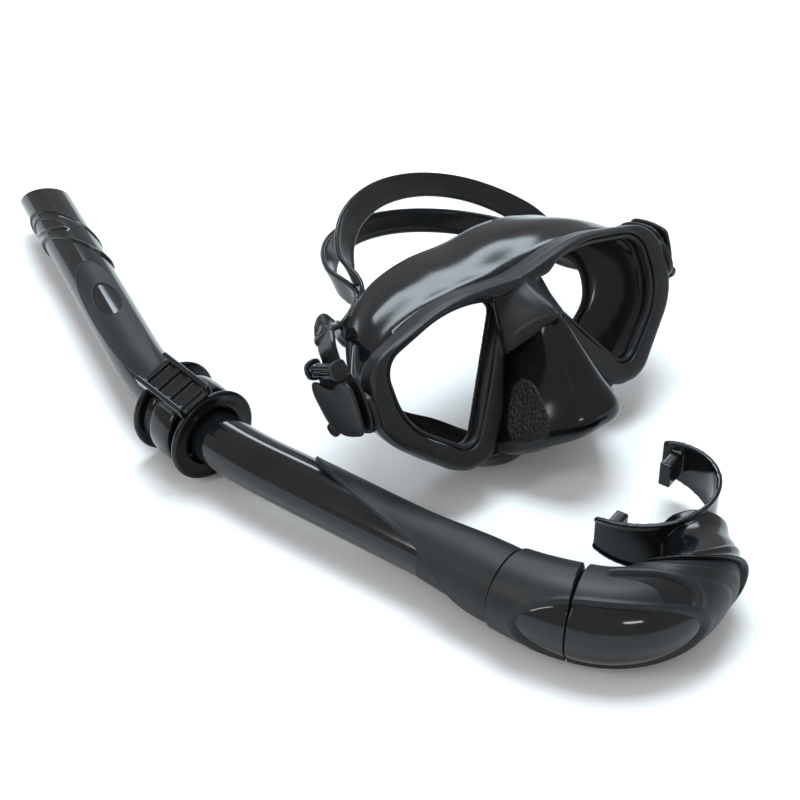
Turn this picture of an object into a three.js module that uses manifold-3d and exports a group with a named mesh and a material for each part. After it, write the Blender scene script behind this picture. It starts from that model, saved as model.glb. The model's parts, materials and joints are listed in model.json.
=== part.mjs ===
// Low-volume dive mask with a J snorkel beside it.
// Millimetres, +Z up. The mask faces -Y and stands on the lower lip of its skirt, tipped back.
// The snorkel lies on the floor on the mask's left, mouthpiece forward.
import * as THREE from 'three';
import { mergeVertices } from 'three/addons/utils/BufferGeometryUtils.js';
import { ConvexGeometry } from 'three/addons/geometries/ConvexGeometry.js';
import Module from 'manifold-3d';

const wasm = await Module();
wasm.setup();

// ---- driving dimensions -------------------------------------------------------------------
const GAP = 0.3;                 // clearance between touching pieces
const MASK_PITCH = 28;           // degrees the mask leans back
const MASK_ORIGIN = [22, -47, 65.2];
const KEEPER_ORIGIN = [-90, 21, 20];
const BASE_SHIFT = [-1.65, -11.2, 0];   // brings the middle of the footprint to the origin

const FRAME_FRONT = -2.5;        // mask y of the frame's front face
const FRAME_BACK = 6.5;
const LENS_FRONT = 1.0;
const LENS_THICK = 3.0;
const LENS_LAND = 1.8;           // how far the lens reaches past the clear opening
const LENS_REBATE = 0.3;         // step round the edge of the pane, under the bezel
const POCKET_LAND = 2.2;
const BEZEL_FRONT = -1.6;
const BEZEL_BACK = LENS_FRONT - GAP;
const BRIDGE_BACK = BEZEL_FRONT - 0.35;
const SKIRT_WALL = 2.2;
const SKIRT_FRONT = FRAME_BACK + GAP;
const SKIRT_FACE = 2.2;          // thickness of the skirt's face behind the frame
const SKIRT_RIM = 6;
const NOSE_WALL = 2;

const BUCKLE_PIVOT = [11.5, -11.5];  // mask y and z of the buckle swivel
const LUG_X = [81.5, 83.4];
const BASE_X = [83.7, 85.2];
const LEVER_X = [87.8, 89.8];
const BUCKLE_Y = [-2, 25];
const EAR_Y = [[3.3, 5.3], [20.7, 22.7]];
const RIGHT_SWIVEL = -78;         // degrees the right buckle is turned back from the left one's rest
const ROLLER = { x: 88.2, z: 7.5, r: 3.1, y: [5.7, 20.3] };
const LEVER_PIN = { x: 86.6, z: -15, r: 1.2 };
const STRAP_THICK = 2.2;
const BAND_WIDTH = 11.5;

const BARREL_BORE = 9.3;
const FLANGE_R = 20;
const HUB_R = 15.2;
const SPOOL_BORE = 13.0;
const FLANGE_X = [11.6, 14.2];
const SPOOL_SHIFT = -5;           // the spool's middle along the tube
const CLIP_ROLL = 20;            // degrees the clip leans round the tube at rest
const SEAM_WEDGE = 7;            // degrees each flex seam stands open on the inner side

const SHELL = 1.1;               // soft overmould thickness on the barrel
const CORNER_STEPS = 12;         // straight steps in one rounded corner

// ---- materials ----------------------------------------------------------------------------
function finish(color, roughness, metalness = 0, opacity = 1) {
  return new THREE.MeshStandardMaterial({ color, roughness, metalness, opacity, transparent: opacity < 1 });
}
const silicone = finish(0x0b0c0e, 0.22);
const satin = finish(0x121417, 0.55);
const gloss = finish(0x0c0d10, 0.15);
const soft = finish(0x15171a, 0.7);
const steel = finish(0x9a9da0, 0.3, 1);
const clear = finish(0xdfe8ea, 0.03, 0, 0.25);

// ---- solids -------------------------------------------------------------------------------
function positionsOnly(geometry) {
  const plain = geometry.clone();
  plain.deleteAttribute('normal');
  plain.deleteAttribute('uv');
  return mergeVertices(plain, 1e-4);
}

function solid(geometry) {
  const merged = positionsOnly(geometry);
  const vertProperties = new Float32Array(merged.attributes.position.array);
  const triVerts = new Uint32Array(merged.index.array);
  return new wasm.Manifold(new wasm.Mesh({ numProp: 3, vertProperties, triVerts }));
}

// The outermost body of a join, without slivers or sealed pockets.
function largest(manifold) {
  return manifold.decompose().reduce((a, b) => (b.volume() > a.volume() ? b : a));
}

function surface(manifold) {
  const result = manifold.getMesh();
  const geometry = new THREE.BufferGeometry();
  geometry.setAttribute('position', new THREE.BufferAttribute(new Float32Array(result.vertProperties), 3));
  geometry.setIndex(new THREE.BufferAttribute(new Uint32Array(result.triVerts), 1));
  geometry.computeVertexNormals();
  return geometry;
}

function addMesh(group, name, shape, material) {
  const geometry = shape.isBufferGeometry ? shape : surface(shape);
  const mesh = new THREE.Mesh(geometry, material);
  mesh.name = name;
  group.add(mesh);
  return mesh;
}

// Rings of equal length joined in order. Open lofts get flat caps; a closed one joins up again.
function loft(rings, closed = false) {
  const count = rings[0].length;
  const positions = rings.flat().flatMap((p) => [p.x, p.y, p.z]);
  const index = [];
  const last = closed ? rings.length : rings.length - 1;
  for (let i = 0; i < last; i += 1) {
    const here = i * count;
    const next = ((i + 1) % rings.length) * count;
    for (let j = 0; j < count; j += 1) {
      const k = (j + 1) % count;
      index.push(here + j, here + k, next + k, here + j, next + k, next + j);
    }
  }
  if (!closed) {
    const end = (rings.length - 1) * count;
    for (let j = 1; j < count - 1; j += 1) {
      index.push(0, j + 1, j);
      index.push(end, end + j, end + j + 1);
    }
  }
  const geometry = new THREE.BufferGeometry();
  geometry.setAttribute('position', new THREE.Float32BufferAttribute(positions, 3));
  geometry.setIndex(index);
  return outward(geometry);
}

// Turns the faces round where the signed volume shows that they point in.
function outward(geometry) {
  const p = geometry.attributes.position;
  const index = geometry.index.array;
  const corner = [new THREE.Vector3(), new THREE.Vector3(), new THREE.Vector3()];
  let volume = 0;
  for (let i = 0; i < index.length; i += 3) {
    corner.forEach((c, j) => c.fromBufferAttribute(p, index[i + j]));
    volume += corner[0].dot(corner[1].clone().cross(corner[2]));
  }
  if (volume < 0) {
    for (let i = 0; i < index.length; i += 3) {
      [index[i + 1], index[i + 2]] = [index[i + 2], index[i + 1]];
    }
  }
  return geometry;
}

const vec = (x, y, z) => new THREE.Vector3(x, y, z);

// A closed outline of straight sides and rounded corners, from [x, z, corner radius].
function rounded(corners, steps) {
  const points = corners.flatMap(([x, z, r], i) => {
    const here = new THREE.Vector2(x, z);
    const toward = ([cx, cz]) => new THREE.Vector2(cx, cz).sub(here).normalize();
    const before = toward(corners[(i + corners.length - 1) % corners.length]);
    const after = toward(corners[(i + 1) % corners.length]);
    const half = Math.acos(before.dot(after)) / 2;
    const centre = before.clone().add(after).normalize().multiplyScalar(r / Math.sin(half)).add(here);
    const tangent = (side) => side.clone().multiplyScalar(r / Math.tan(half)).add(here).sub(centre).angle();
    const from = tangent(before);
    const turn = THREE.MathUtils.euclideanModulo(tangent(after) - from + Math.PI, 2 * Math.PI) - Math.PI;
    return Array.from({ length: CORNER_STEPS + 1 }, (_, k) => {
      const angle = from + turn * (k / CORNER_STEPS);
      return new THREE.Vector2(Math.cos(angle), Math.sin(angle)).multiplyScalar(r).add(centre);
    });
  });
  const path = new THREE.Path().setFromPoints([...points, points[0]]);
  return path.getSpacedPoints(steps).slice(0, -1);
}

// A smooth closed outline through [x, z] points.
function outline(points, steps) {
  const curve = new THREE.CatmullRomCurve3(points.map(([x, z]) => vec(x, z, 0)), true, 'centripetal');
  return curve.getPoints(steps).slice(0, -1).map((p) => new THREE.Vector2(p.x, p.y));
}

function grow(points, distance) {
  const turn = THREE.ShapeUtils.isClockWise(points) ? -1 : 1;
  return points.map((p, i) => {
    const before = points[(i + points.length - 1) % points.length];
    const after = points[(i + 1) % points.length];
    const along = after.clone().sub(before).normalize();
    return new THREE.Vector2(p.x + along.y * distance * turn, p.y - along.x * distance * turn);
  });
}

const mirrored = (points) => points.map((p) => new THREE.Vector2(-p.x, p.y)).reverse();

// A plate standing in the mask's XZ plane, between two y values.
function plate(points, front, back) {
  const shape = new THREE.Shape(points);
  const geometry = new THREE.ExtrudeGeometry(shape, { depth: back - front, bevelEnabled: false });
  geometry.rotateX(Math.PI / 2);
  geometry.translate(0, back, 0);
  return solid(geometry);
}

// A plate in the YZ plane, between two x values, from [y, z] points.
function sidePlate(points, x0, x1) {
  const shape = new THREE.Shape(points.map(([y, z]) => new THREE.Vector2(y, z)));
  const geometry = new THREE.ExtrudeGeometry(shape, { depth: x1 - x0, bevelEnabled: false });
  geometry.rotateX(Math.PI / 2);
  geometry.rotateZ(Math.PI / 2);
  geometry.translate(x0, 0, 0);
  return solid(geometry);
}

function block(x, y, z) {
  const geometry = new THREE.BoxGeometry(x[1] - x[0], y[1] - y[0], z[1] - z[0]);
  geometry.translate((x[0] + x[1]) / 2, (y[0] + y[1]) / 2, (z[0] + z[1]) / 2);
  return solid(geometry);
}

// A rod along X, Y or Z from one coordinate to another.
function rod(axis, r, from, to, at, sides = 20) {
  const geometry = new THREE.CylinderGeometry(r, r, to - from, sides);
  geometry.translate(0, (from + to) / 2, 0);
  if (axis === 'x') geometry.rotateZ(-Math.PI / 2);
  if (axis === 'z') geometry.rotateX(Math.PI / 2);
  geometry.translate(at[0], at[1], at[2]);
  return solid(geometry);
}

// ---- mask outlines ------------------------------------------------------------------------
// Corners of the frame's right half, from the middle of the brow round to the nose arch.
const FRAME_HALF = [
  [0, 12.6, 60], [36, 16.8, 70], [80.5, 4.5, 16], [82, -24, 30], [50, -53, 16], [36, -52, 10],
  [25, -39, 25], [9, -5, 5],
];
const LENS_CORNERS = [[9.5, 5.2, 4], [33, 11.3, 60], [70, 2.5, 10], [69.5, -23, 26], [43, -45.5, 7]];
const flipped = (half) => half.filter(([x]) => x > 0).reverse().map(([x, ...rest]) => [-x, ...rest]);
const both = (half) => [...half, ...flipped(half)];

const SKIRT_STATIONS = [
  // front x, z      back x, y, z        lip x, y, z
  [0, 12.5, 0, 38, 27, 0, 34, 15],
  [20, 13.5, 20, 39, 27.5, 19, 35, 15],
  [40, 13.5, 40, 38, 24.5, 36, 35, 12],
  [58, 10, 56, 35, 17.5, 49, 33, 6],
  [71, 3.5, 65, 31, 7, 55, 31, -1],
  [79, -9, 69.5, 29, -7, 58, 30, -9],
  [77, -23, 67, 29, -21, 56, 31, -20],
  [66, -38, 57, 31, -34, 48, 33, -28],
  [50, -50, 42, 31, -46, 35, 34, -37],
  [36, -54, 28, 24, -59, 24, 33, -46],
  [20, -57, 18, 18, -63.5, 17, 32, -51],
  [0, -58, 0, 22, -60.5, 0, 32, -50],
];
const NOSE_STATIONS = [
  // z, half-width at the frame, half-width of the ridge, y of the ridge
  [-2, 5.5, 2, -12],
  [-8, 9, 4.8, -21],
  [-20, 14, 6.5, -25],
  [-35, 21.8, 9, -28.5],
  [-48, 29, 11.5, -31.5],
  [-53, 28, 11.5, -29],
  [-56.5, 24, 10, -14],
];
const NOSE_MID_Y = -12;
const NOSE_BELLY = 0.62;

const frameOutline = rounded(both(FRAME_HALF), 96);
const lensOutline = rounded(LENS_CORNERS, 44);

function noseRing([z, back, ridge, front], inset, reach) {
  const midWidth = ridge + (back - ridge) * NOSE_BELLY;
  const midY = Math.max(NOSE_MID_Y, front * 0.45);
  const half = [
    [back - inset, reach], [back - inset, 5], [midWidth - inset, midY],
    [ridge - inset * 0.7, front + 1.6 + inset], [(ridge - inset) * 0.7, front + inset],
  ];
  const right = half.map(([x, y]) => vec(Math.max(x, 0.4), y, z));
  const left = half.map(([x, y]) => vec(-Math.max(x, 0.4), y, z)).reverse();
  return [...right, ...left];
}

function nosePocket(inset, reach, dropTop = 0, raiseBottom = 0) {
  const rings = NOSE_STATIONS.map((station, i) => {
    const z = station[0] - (i === 0 ? dropTop : 0) + (i === NOSE_STATIONS.length - 1 ? raiseBottom : 0);
    return noseRing([z, ...station.slice(1)], inset, reach);
  });
  return solid(loft(rings));
}

// ---- mask: frame, lenses, bezels ------------------------------------------------------------
function topOf(points, x) {
  return points.reduce((best, p) => (Math.abs(p.x - x) < 4 && p.y > best ? p.y : best), -99);
}

function browVisor() {
  const rings = [];
  const visorHalf = 66;
  for (let x = -visorHalf; x <= visorHalf; x += 6) {
    const along = Math.abs(x) / visorHalf;
    const low = Math.abs(x) < 12 ? 7.5 : topOf(lensOutline, Math.abs(x)) + POCKET_LAND + 0.2;
    const high = topOf(frameOutline, x) - 0.2;
    const reach = -3 - 6 * Math.cos(along * Math.PI / 2);
    rings.push([
      vec(x, 0, low), vec(x, reach + 0.6, low), vec(x, reach, (low + high) / 2),
      vec(x, reach + 1.6, high), vec(x, 0, high),
    ]);
  }
  return solid(loft(rings));
}

function bridgeRoof() {
  const half = [
    [10.5, BRIDGE_BACK, 12.5], [11, BRIDGE_BACK, 2], [15.5, BRIDGE_BACK, -10],
    [17, BRIDGE_BACK, -19], [16.5, -5, -18], [10.8, -10.5, 7], [13, -11, -6],
    [9.5, -17.5, -5], [9, -18.5, -7.5],
  ];
  const ridge = [[0, -23.5, -6.5], [0, -22.5, -3.5], [0, -9.5, 10.5]];
  const points = [...half, ...half.map(([x, y, z]) => [-x, y, z]), ...ridge];
  return solid(new ConvexGeometry(points.map(([x, y, z]) => vec(x, y, z))));
}

function buildFrame(group) {
  let body = plate(frameOutline, FRAME_FRONT, FRAME_BACK);
  [lensOutline, mirrored(lensOutline)].forEach((hole) => {
    body = body.subtract(plate(grow(hole, POCKET_LAND), -30, LENS_FRONT + LENS_THICK + GAP));
    body = body.subtract(plate(hole, -30, FRAME_BACK + 1));
  });
  body = body.add(browVisor()).add(bridgeRoof());
  body = body.subtract(nosePocket(-0.45, 12, -0.5, -0.5));
  addMesh(group, 'frame', body, satin);
}

function buildLens(group, side) {
  const hole = side > 0 ? lensOutline : mirrored(lensOutline);
  const name = side > 0 ? 'right' : 'left';
  const outer = grow(hole, LENS_LAND);
  const rebated = plate(outer, LENS_FRONT + LENS_REBATE, LENS_FRONT + LENS_THICK)
    .add(plate(grow(hole, -0.8), LENS_FRONT, LENS_FRONT + LENS_THICK));
  addMesh(group, `${name}_lens`, rebated, clear);
  const bezel = plate(outer, BEZEL_FRONT, BEZEL_BACK).subtract(plate(grow(hole, -0.2), -5, 5));
  addMesh(group, `${name}_lens_bezel`, bezel, satin);
}

// ---- mask: skirt --------------------------------------------------------------------------
function skirtStations() {
  const mirror = SKIRT_STATIONS.slice(1, -1).reverse();
  const leftHalf = mirror.map(([a, b, c, d, e, f, g, h]) => [-a, b, -c, d, e, -f, g, h]);
  return [...SKIRT_STATIONS, ...leftHalf];
}

function skirtShell() {
  const stations = skirtStations();
  const smooth = (pick) => new THREE.CatmullRomCurve3(stations.map(pick), true, 'centripetal');
  const front = smooth(([x, z]) => vec(x, SKIRT_FRONT, z));
  const back = smooth((s) => vec(s[2], s[3], s[4]));
  const lip = smooth((s) => vec(s[5], s[6], s[7]));
  const steps = stations.length * 3;
  const rings = [];
  for (let i = 0; i < steps; i += 1) {
    const t = i / steps;
    const f = front.getPoint(t);
    const b = back.getPoint(t);
    const l = lip.getPoint(t);
    const centre = vec(f.x * 0.3, 0, -18);
    const inward = centre.clone().sub(vec(f.x, 0, f.z)).normalize();
    const move = (p, d, dy) => p.clone().addScaledVector(inward, d).add(vec(0, dy, 0));
    const middle = f.clone().lerp(b, 0.5).addScaledVector(inward, -2.4);
    rings.push([
      f, middle, move(b, 0.6, -3), b, move(b, 1.8, 0.9), l,
      move(l, 0.2, -1.6), move(b, SKIRT_WALL + 1.2, -2.4), move(middle, SKIRT_WALL, 0),
      move(f, SKIRT_RIM, SKIRT_FACE), move(f, SKIRT_RIM, 0),
    ]);
  }
  return solid(loft(rings, true));
}

function buildSkirt(group) {
  const rim = outline(skirtStations().map(([x, z]) => [x, z]), skirtStations().length * 3);
  const face = plate(grow(rim, -2), SKIRT_FRONT, SKIRT_FRONT + SKIRT_FACE);
  const nose = nosePocket(0, SKIRT_FRONT + SKIRT_FACE);
  const hollow = nosePocket(NOSE_WALL, 40, NOSE_WALL, NOSE_WALL);
  let body = skirtShell().add(face).add(nose).subtract(hollow);
  [lensOutline, mirrored(lensOutline)].forEach((hole) => {
    body = body.subtract(plate(grow(hole, 1), 0, SKIRT_FRONT + SKIRT_FACE + 1));
  });
  addMesh(group, 'skirt', body, silicone);
}

// ---- mask: swivel buckles -------------------------------------------------------------------
function buckleOutline(low, high) {
  const [y0, y1] = BUCKLE_Y;
  return [
    [y0 + 3, low], [y1 - 11, low], [y1 - 2, low + 6], [y1, high - 3], [y1 - 2, high],
    [(y0 + y1) / 2, high - 2.5], [y0 + 3, high], [y0, high - 5], [y0, low + 4],
  ];
}

function buckleParts() {
  const [py, pz] = BUCKLE_PIVOT;
  let lug = sidePlate([[-1.5, -6], [-1.5, -18], [8, -21], [17, -18], [18, -6], [10, -3]], ...LUG_X);
  lug = lug.subtract(rod('x', 3.1, LUG_X[0] - 1, LUG_X[1] + 1, [0, py, pz]));
  const pin = rod('x', 2.8, LUG_X[0] + 0.2, LUG_X[1] + 0.1, [0, py, pz]);
  let base = sidePlate(buckleOutline(-18.6, 5), ...BASE_X);
  EAR_Y.forEach((y) => {
    base = base.add(block([BASE_X[0], ROLLER.x + 3], y, [3.5, 11.5]));
    base = base.add(block([BASE_X[0], LEVER_PIN.x + 0.7], y, [-18, -12.2]));
  });
  base = base.subtract(rod('y', ROLLER.r * 0.5 + 0.1, 0, 40, [ROLLER.x, 0, ROLLER.z]));
  base = base.subtract(rod('y', LEVER_PIN.r + 0.1, 0, 40, [LEVER_PIN.x, 0, LEVER_PIN.z]));
  let roller = rod('y', ROLLER.r, ...ROLLER.y, [ROLLER.x, 0, ROLLER.z], 24);
  const pinY = [EAR_Y[0][0] + GAP, EAR_Y[1][1] - GAP];
  roller = roller.add(rod('y', ROLLER.r * 0.5, ...pinY, [ROLLER.x, 0, ROLLER.z], 16));
  let lever = sidePlate(buckleOutline(-18.4, 3.1), ...LEVER_X);
  [[6.5, 9.5], [15, 18]].forEach((y) => {
    lever = lever.add(block([BASE_X[1] + 0.4, LEVER_X[1] - 1], y, [-17, -13]));
  });
  lever = lever.subtract(rod('y', LEVER_PIN.r + 0.1, 0, 40, [LEVER_PIN.x, 0, LEVER_PIN.z]));
  const leverPin = rod('y', LEVER_PIN.r, ...pinY, [LEVER_PIN.x, 0, LEVER_PIN.z], 16);
  const leaf = [[BASE_X[1] + 0.3, -10], [BASE_X[1] + 0.9, -10], [BASE_X[1] + 1.4, -2], [BASE_X[1] + 0.8, -2]];
  const leafShape = new THREE.Shape(leaf.map(([x, z]) => new THREE.Vector2(x, z)));
  const spring = new THREE.ExtrudeGeometry(leafShape, { depth: 6, bevelEnabled: false });
  spring.rotateX(Math.PI / 2);
  spring.translate(0, 15, 0);
  const tail = band(TAIL, BAND_WIDTH, 5, Infinity);
  return { lug, swivel_pin: pin, buckle_base: base, roller, lever, lever_pin: leverPin,
    lever_spring: solid(spring), strap_tail: tail };
}

function buildBuckle(group, side) {
  const name = side > 0 ? 'right' : 'left';
  const swivel = new THREE.Group();
  const [py, pz] = BUCKLE_PIVOT;
  swivel.position.set(0, py, pz);
  swivel.rotation.x = THREE.MathUtils.degToRad(side > 0 ? RIGHT_SWIVEL : 0);
  group.add(swivel);
  const materials = { lug: satin, swivel_pin: satin, buckle_base: satin, roller: gloss, lever: satin,
    lever_pin: steel, lever_spring: steel, strap_tail: silicone };
  Object.entries(buckleParts()).forEach(([part, shape]) => {
    const placed = side > 0 ? shape : shape.mirror([1, 0, 0]);
    const fixed = part === 'lug' || part === 'swivel_pin';
    const mesh = addMesh(fixed ? group : swivel, `${name}_${part}`, placed, materials[part]);
    if (!fixed) mesh.position.set(0, -py, -pz);
  });
}

// ---- mask: strap --------------------------------------------------------------------------
const TAIL = [[83.6, 13, 5.7], [83.6, 13.6, 10], [82.9, 15.5, 14.2]];
// Both bands leave the buckle together over the skirt's corner, part behind it, arch round the back
// of the head and meet again at the other buckle.
const LEAVE = [[-79.5, 18.5, 18.4], [-74, 24, 19], [-66, 34.5, 17.5], [-56, 43, 9]];
const ARRIVE = [82, 41.7, -12.7];
const ARCH_STEPS = 7;
const UPPER_ARCH = { from: [-36, 50, 14], to: [83.5, 66, -6], back: 33, up: 42 };
const LOWER_ARCH = { from: [-38, 52, 14], to: [83.5, 66, -10], back: 54, up: 28 };

// Half an ellipse from one point to another, standing back and up from the line between them.
function arch({ from, to, back, up }) {
  return Array.from({ length: ARCH_STEPS + 1 }, (_, k) => {
    const angle = Math.PI * (k / ARCH_STEPS);
    const [x, y, z] = from.map((v, i) => THREE.MathUtils.lerp(v, to[i], (1 - Math.cos(angle)) / 2));
    return [x, y + back * Math.sin(angle), z + up * Math.sin(angle)];
  });
}

const ALONG_ROLLER = vec(0, 1, -0.3);    // direction of the strap's width at the left buckle
const UPRIGHT = vec(0, 0.35, 1);         // and round the head
const TWIST = 0.1;                       // share of the strap's length over which it turns

function band(points, width, steps, twist = TWIST) {
  const curve = new THREE.CatmullRomCurve3(points.map(([x, y, z]) => vec(x, y, z)), false, 'centripetal');
  const rings = [];
  for (let i = 0; i <= steps; i += 1) {
    const p = curve.getPointAt(i / steps);
    const along = curve.getTangentAt(i / steps);
    const across = ALONG_ROLLER.clone().lerp(UPRIGHT, Math.min(1, i / steps / twist));
    const up = across.addScaledVector(along, -across.dot(along)).normalize();
    const out = along.clone().cross(up);
    const corner = (a, b) => p.clone().addScaledVector(up, a * width / 2)
      .addScaledVector(out, b * STRAP_THICK / 2);
    rings.push([corner(1, 1), corner(-1, 1), corner(-1, -1), corner(1, -1)]);
  }
  return solid(loft(rings));
}

function buildStrap(group) {
  const joined = band([...LEAVE, ...arch(UPPER_ARCH), ARRIVE], BAND_WIDTH, 34)
    .add(band([...LEAVE, ...arch(LOWER_ARCH), ARRIVE], BAND_WIDTH, 36));
  addMesh(group, 'strap', largest(joined), silicone);
}

const mask = new THREE.Group();
mask.position.set(...MASK_ORIGIN);
mask.rotation.x = THREE.MathUtils.degToRad(-MASK_PITCH);
buildFrame(mask);
buildSkirt(mask);
[-1, 1].forEach((side) => {
  buildLens(mask, side);
  buildBuckle(mask, side);
});
buildStrap(mask);

// ---- snorkel ------------------------------------------------------------------------------
// The tube's centreline lies in one level plane: straight lengths and arcs, laid end to end from the
// open top to the mouthpiece. The keeper is where the second run ends, at the origin, heading along +x.
const TUBE_RUNS = [
  { length: 142, turn: 0 }, { length: 61, turn: 17 }, { length: 43, turn: 12 }, { length: 111.7, turn: 0 },
  { length: 34, turn: 20 }, { length: 62, turn: 106 }, { length: 15, turn: 0 },
];
const LENGTH = TUBE_RUNS.reduce((sum, { length }) => sum + length, 0);
const mm = (distance) => distance / LENGTH;
const TOP = 0;
const KEEPER = mm(TUBE_RUNS[0].length + TUBE_RUNS[1].length);
const GRIP_START = mm(261);
const SEAM_1 = mm(359);
const SEAM_2 = mm(387);
const SEAM_3 = mm(439);

// Place and heading after a share t of the length, starting from the middle of the open top.
function walk(t) {
  let [x, y, left] = [0, 0, t * LENGTH];
  let heading = -THREE.MathUtils.degToRad(TUBE_RUNS[1].turn);
  TUBE_RUNS.forEach(({ length, turn }) => {
    const used = THREE.MathUtils.clamp(left, 0, length);
    const swing = THREE.MathUtils.degToRad(turn) * (used / length);
    const chord = swing === 0 ? used : used * Math.sin(swing / 2) / (swing / 2);
    x += chord * Math.cos(heading + swing / 2);
    y += chord * Math.sin(heading + swing / 2);
    heading += swing;
    left -= used;
  });
  return { x, y, heading };
}
const keeperPlace = walk(KEEPER);

function tubePoint(t) {
  const { x, y } = walk(t);
  return vec(x - keeperPlace.x, y - keeperPlace.y, 0);
}

function tubeHeading(t) {
  const { heading } = walk(t);
  return vec(Math.cos(heading), Math.sin(heading), 0);
}

// A round-sectioned hollow tube along part of the centreline. size(s) gives the outer half-width,
// outer half-height and bore radius at s, which runs from 0 to 1 over the piece.
function pipe(from, to, steps, sides, size) {
  const outer = [];
  const inner = [];
  for (let i = 0; i <= steps; i += 1) {
    const s = i / steps;
    const t = THREE.MathUtils.clamp(from + (to - from) * s, 0, 1);
    const p = tubePoint(t);
    const along = tubeHeading(t);
    const side = vec(-along.y, along.x, 0);
    const [wide, high, bore] = size(s);
    const ring = (a, b) => Array.from({ length: sides }, (_, j) => {
      const angle = (j / sides) * 2 * Math.PI;
      const up = vec(0, 0, b * Math.sin(angle));
      return p.clone().addScaledVector(side, a * Math.cos(angle)).add(up);
    });
    outer.push(ring(wide, high));
    inner.unshift(ring(bore, bore));
  }
  return solid(loft([...outer, ...inner], true));
}

const ease = (a, b, s) => a + (b - a) * s * s * (3 - 2 * s);

function barrelRadius(t) {
  const below = Math.min(1, (t - KEEPER) / (GRIP_START - KEEPER));
  return t < KEEPER ? 11.0 + 0.3 * (t / KEEPER) : 11.3 + 0.5 * below;
}

// A tall wedge that opens a seam towards the inside of the bend, hinged at its outer wall.
function seamWedge(t, reach, angle) {
  const p = tubePoint(t);
  const along = tubeHeading(t);
  const inner = vec(-along.y, along.x, 0);
  const apex = p.clone().addScaledVector(inner, -reach);
  const half = Math.tan(THREE.MathUtils.degToRad(angle / 2)) * reach * 2.2;
  const far = p.clone().addScaledVector(inner, reach * 1.2);
  const thin = 0.35;
  const corners = [
    apex.clone().addScaledVector(along, -thin).addScaledVector(inner, -4),
    apex.clone().addScaledVector(along, thin).addScaledVector(inner, -4),
    apex.clone().addScaledVector(along, thin), apex.clone().addScaledVector(along, -thin),
    far.clone().addScaledVector(along, half), far.clone().addScaledVector(along, -half),
  ];
  const points = corners.flatMap((c) => [c.clone().setZ(-40), c.clone().setZ(40)]);
  return solid(new ConvexGeometry(points));
}

function grownBarrel(t, extra) {
  return barrelRadius(t) + extra;
}

function buildBarrel(group) {
  const to = SEAM_1 - mm(16);
  let tube = pipe(TOP, to, 28, 16, (s) => {
    const r = barrelRadius(TOP + (to - TOP) * s);
    return [r, r, BARREL_BORE];
  });
  const bevel = new THREE.BoxGeometry(40, 60, 60);
  bevel.rotateY(THREE.MathUtils.degToRad(24));
  const start = tubePoint(0);
  bevel.translate(start.x - 16, start.y, 4);
  tube = tube.subtract(solid(bevel));
  addMesh(group, 'barrel', tube, gloss);

  const bandFrom = mm(12);
  const bandTo = mm(30);
  addMesh(group, 'tip_band', pipe(bandFrom, bandTo, 3, 16, (s) => {
    const r = barrelRadius(bandFrom + (bandTo - bandFrom) * s);
    return [r + SHELL + 0.5 + GAP, r + SHELL + 0.5 + GAP, r + GAP];
  }), soft);

  const gripFrom = mm(62);
  const gripTo = KEEPER - mm(27);
  let grip = pipe(gripFrom, gripTo, 9, 16, (s) => {
    const r = barrelRadius(gripFrom + (gripTo - gripFrom) * s);
    const skin = GAP + SHELL * Math.min(1, 0.35 + 4 * s);
    return [r + skin, r + skin, r + GAP];
  });
  const under = new THREE.BoxGeometry(200, 60, 40);
  under.rotateX(THREE.MathUtils.degToRad(-25));
  under.translate(-90, 5, -24);
  grip = grip.subtract(solid(under));
  addMesh(group, 'upper_grip', grip, soft);

  const from = GRIP_START - mm(6);
  const end = SEAM_1 - mm(0.2);
  let cover = pipe(from, end, 12, 16, (s) => {
    const t = from + (end - from) * s;
    const swell = ease(0, 1, Math.max(0, (s - 0.45) / 0.55));
    const inner = t < SEAM_1 - mm(14) ? grownBarrel(t, GAP) : grownBarrel(t, GAP) + 0.4;
    return [grownBarrel(t, GAP + SHELL) + 2.8 * swell, grownBarrel(t, GAP + SHELL) + 3.2 * swell, inner];
  });
  cover = cover.subtract(seamWedge(SEAM_1, 17, SEAM_WEDGE));
  addMesh(group, 'lower_grip', cover, soft);
}

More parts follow.
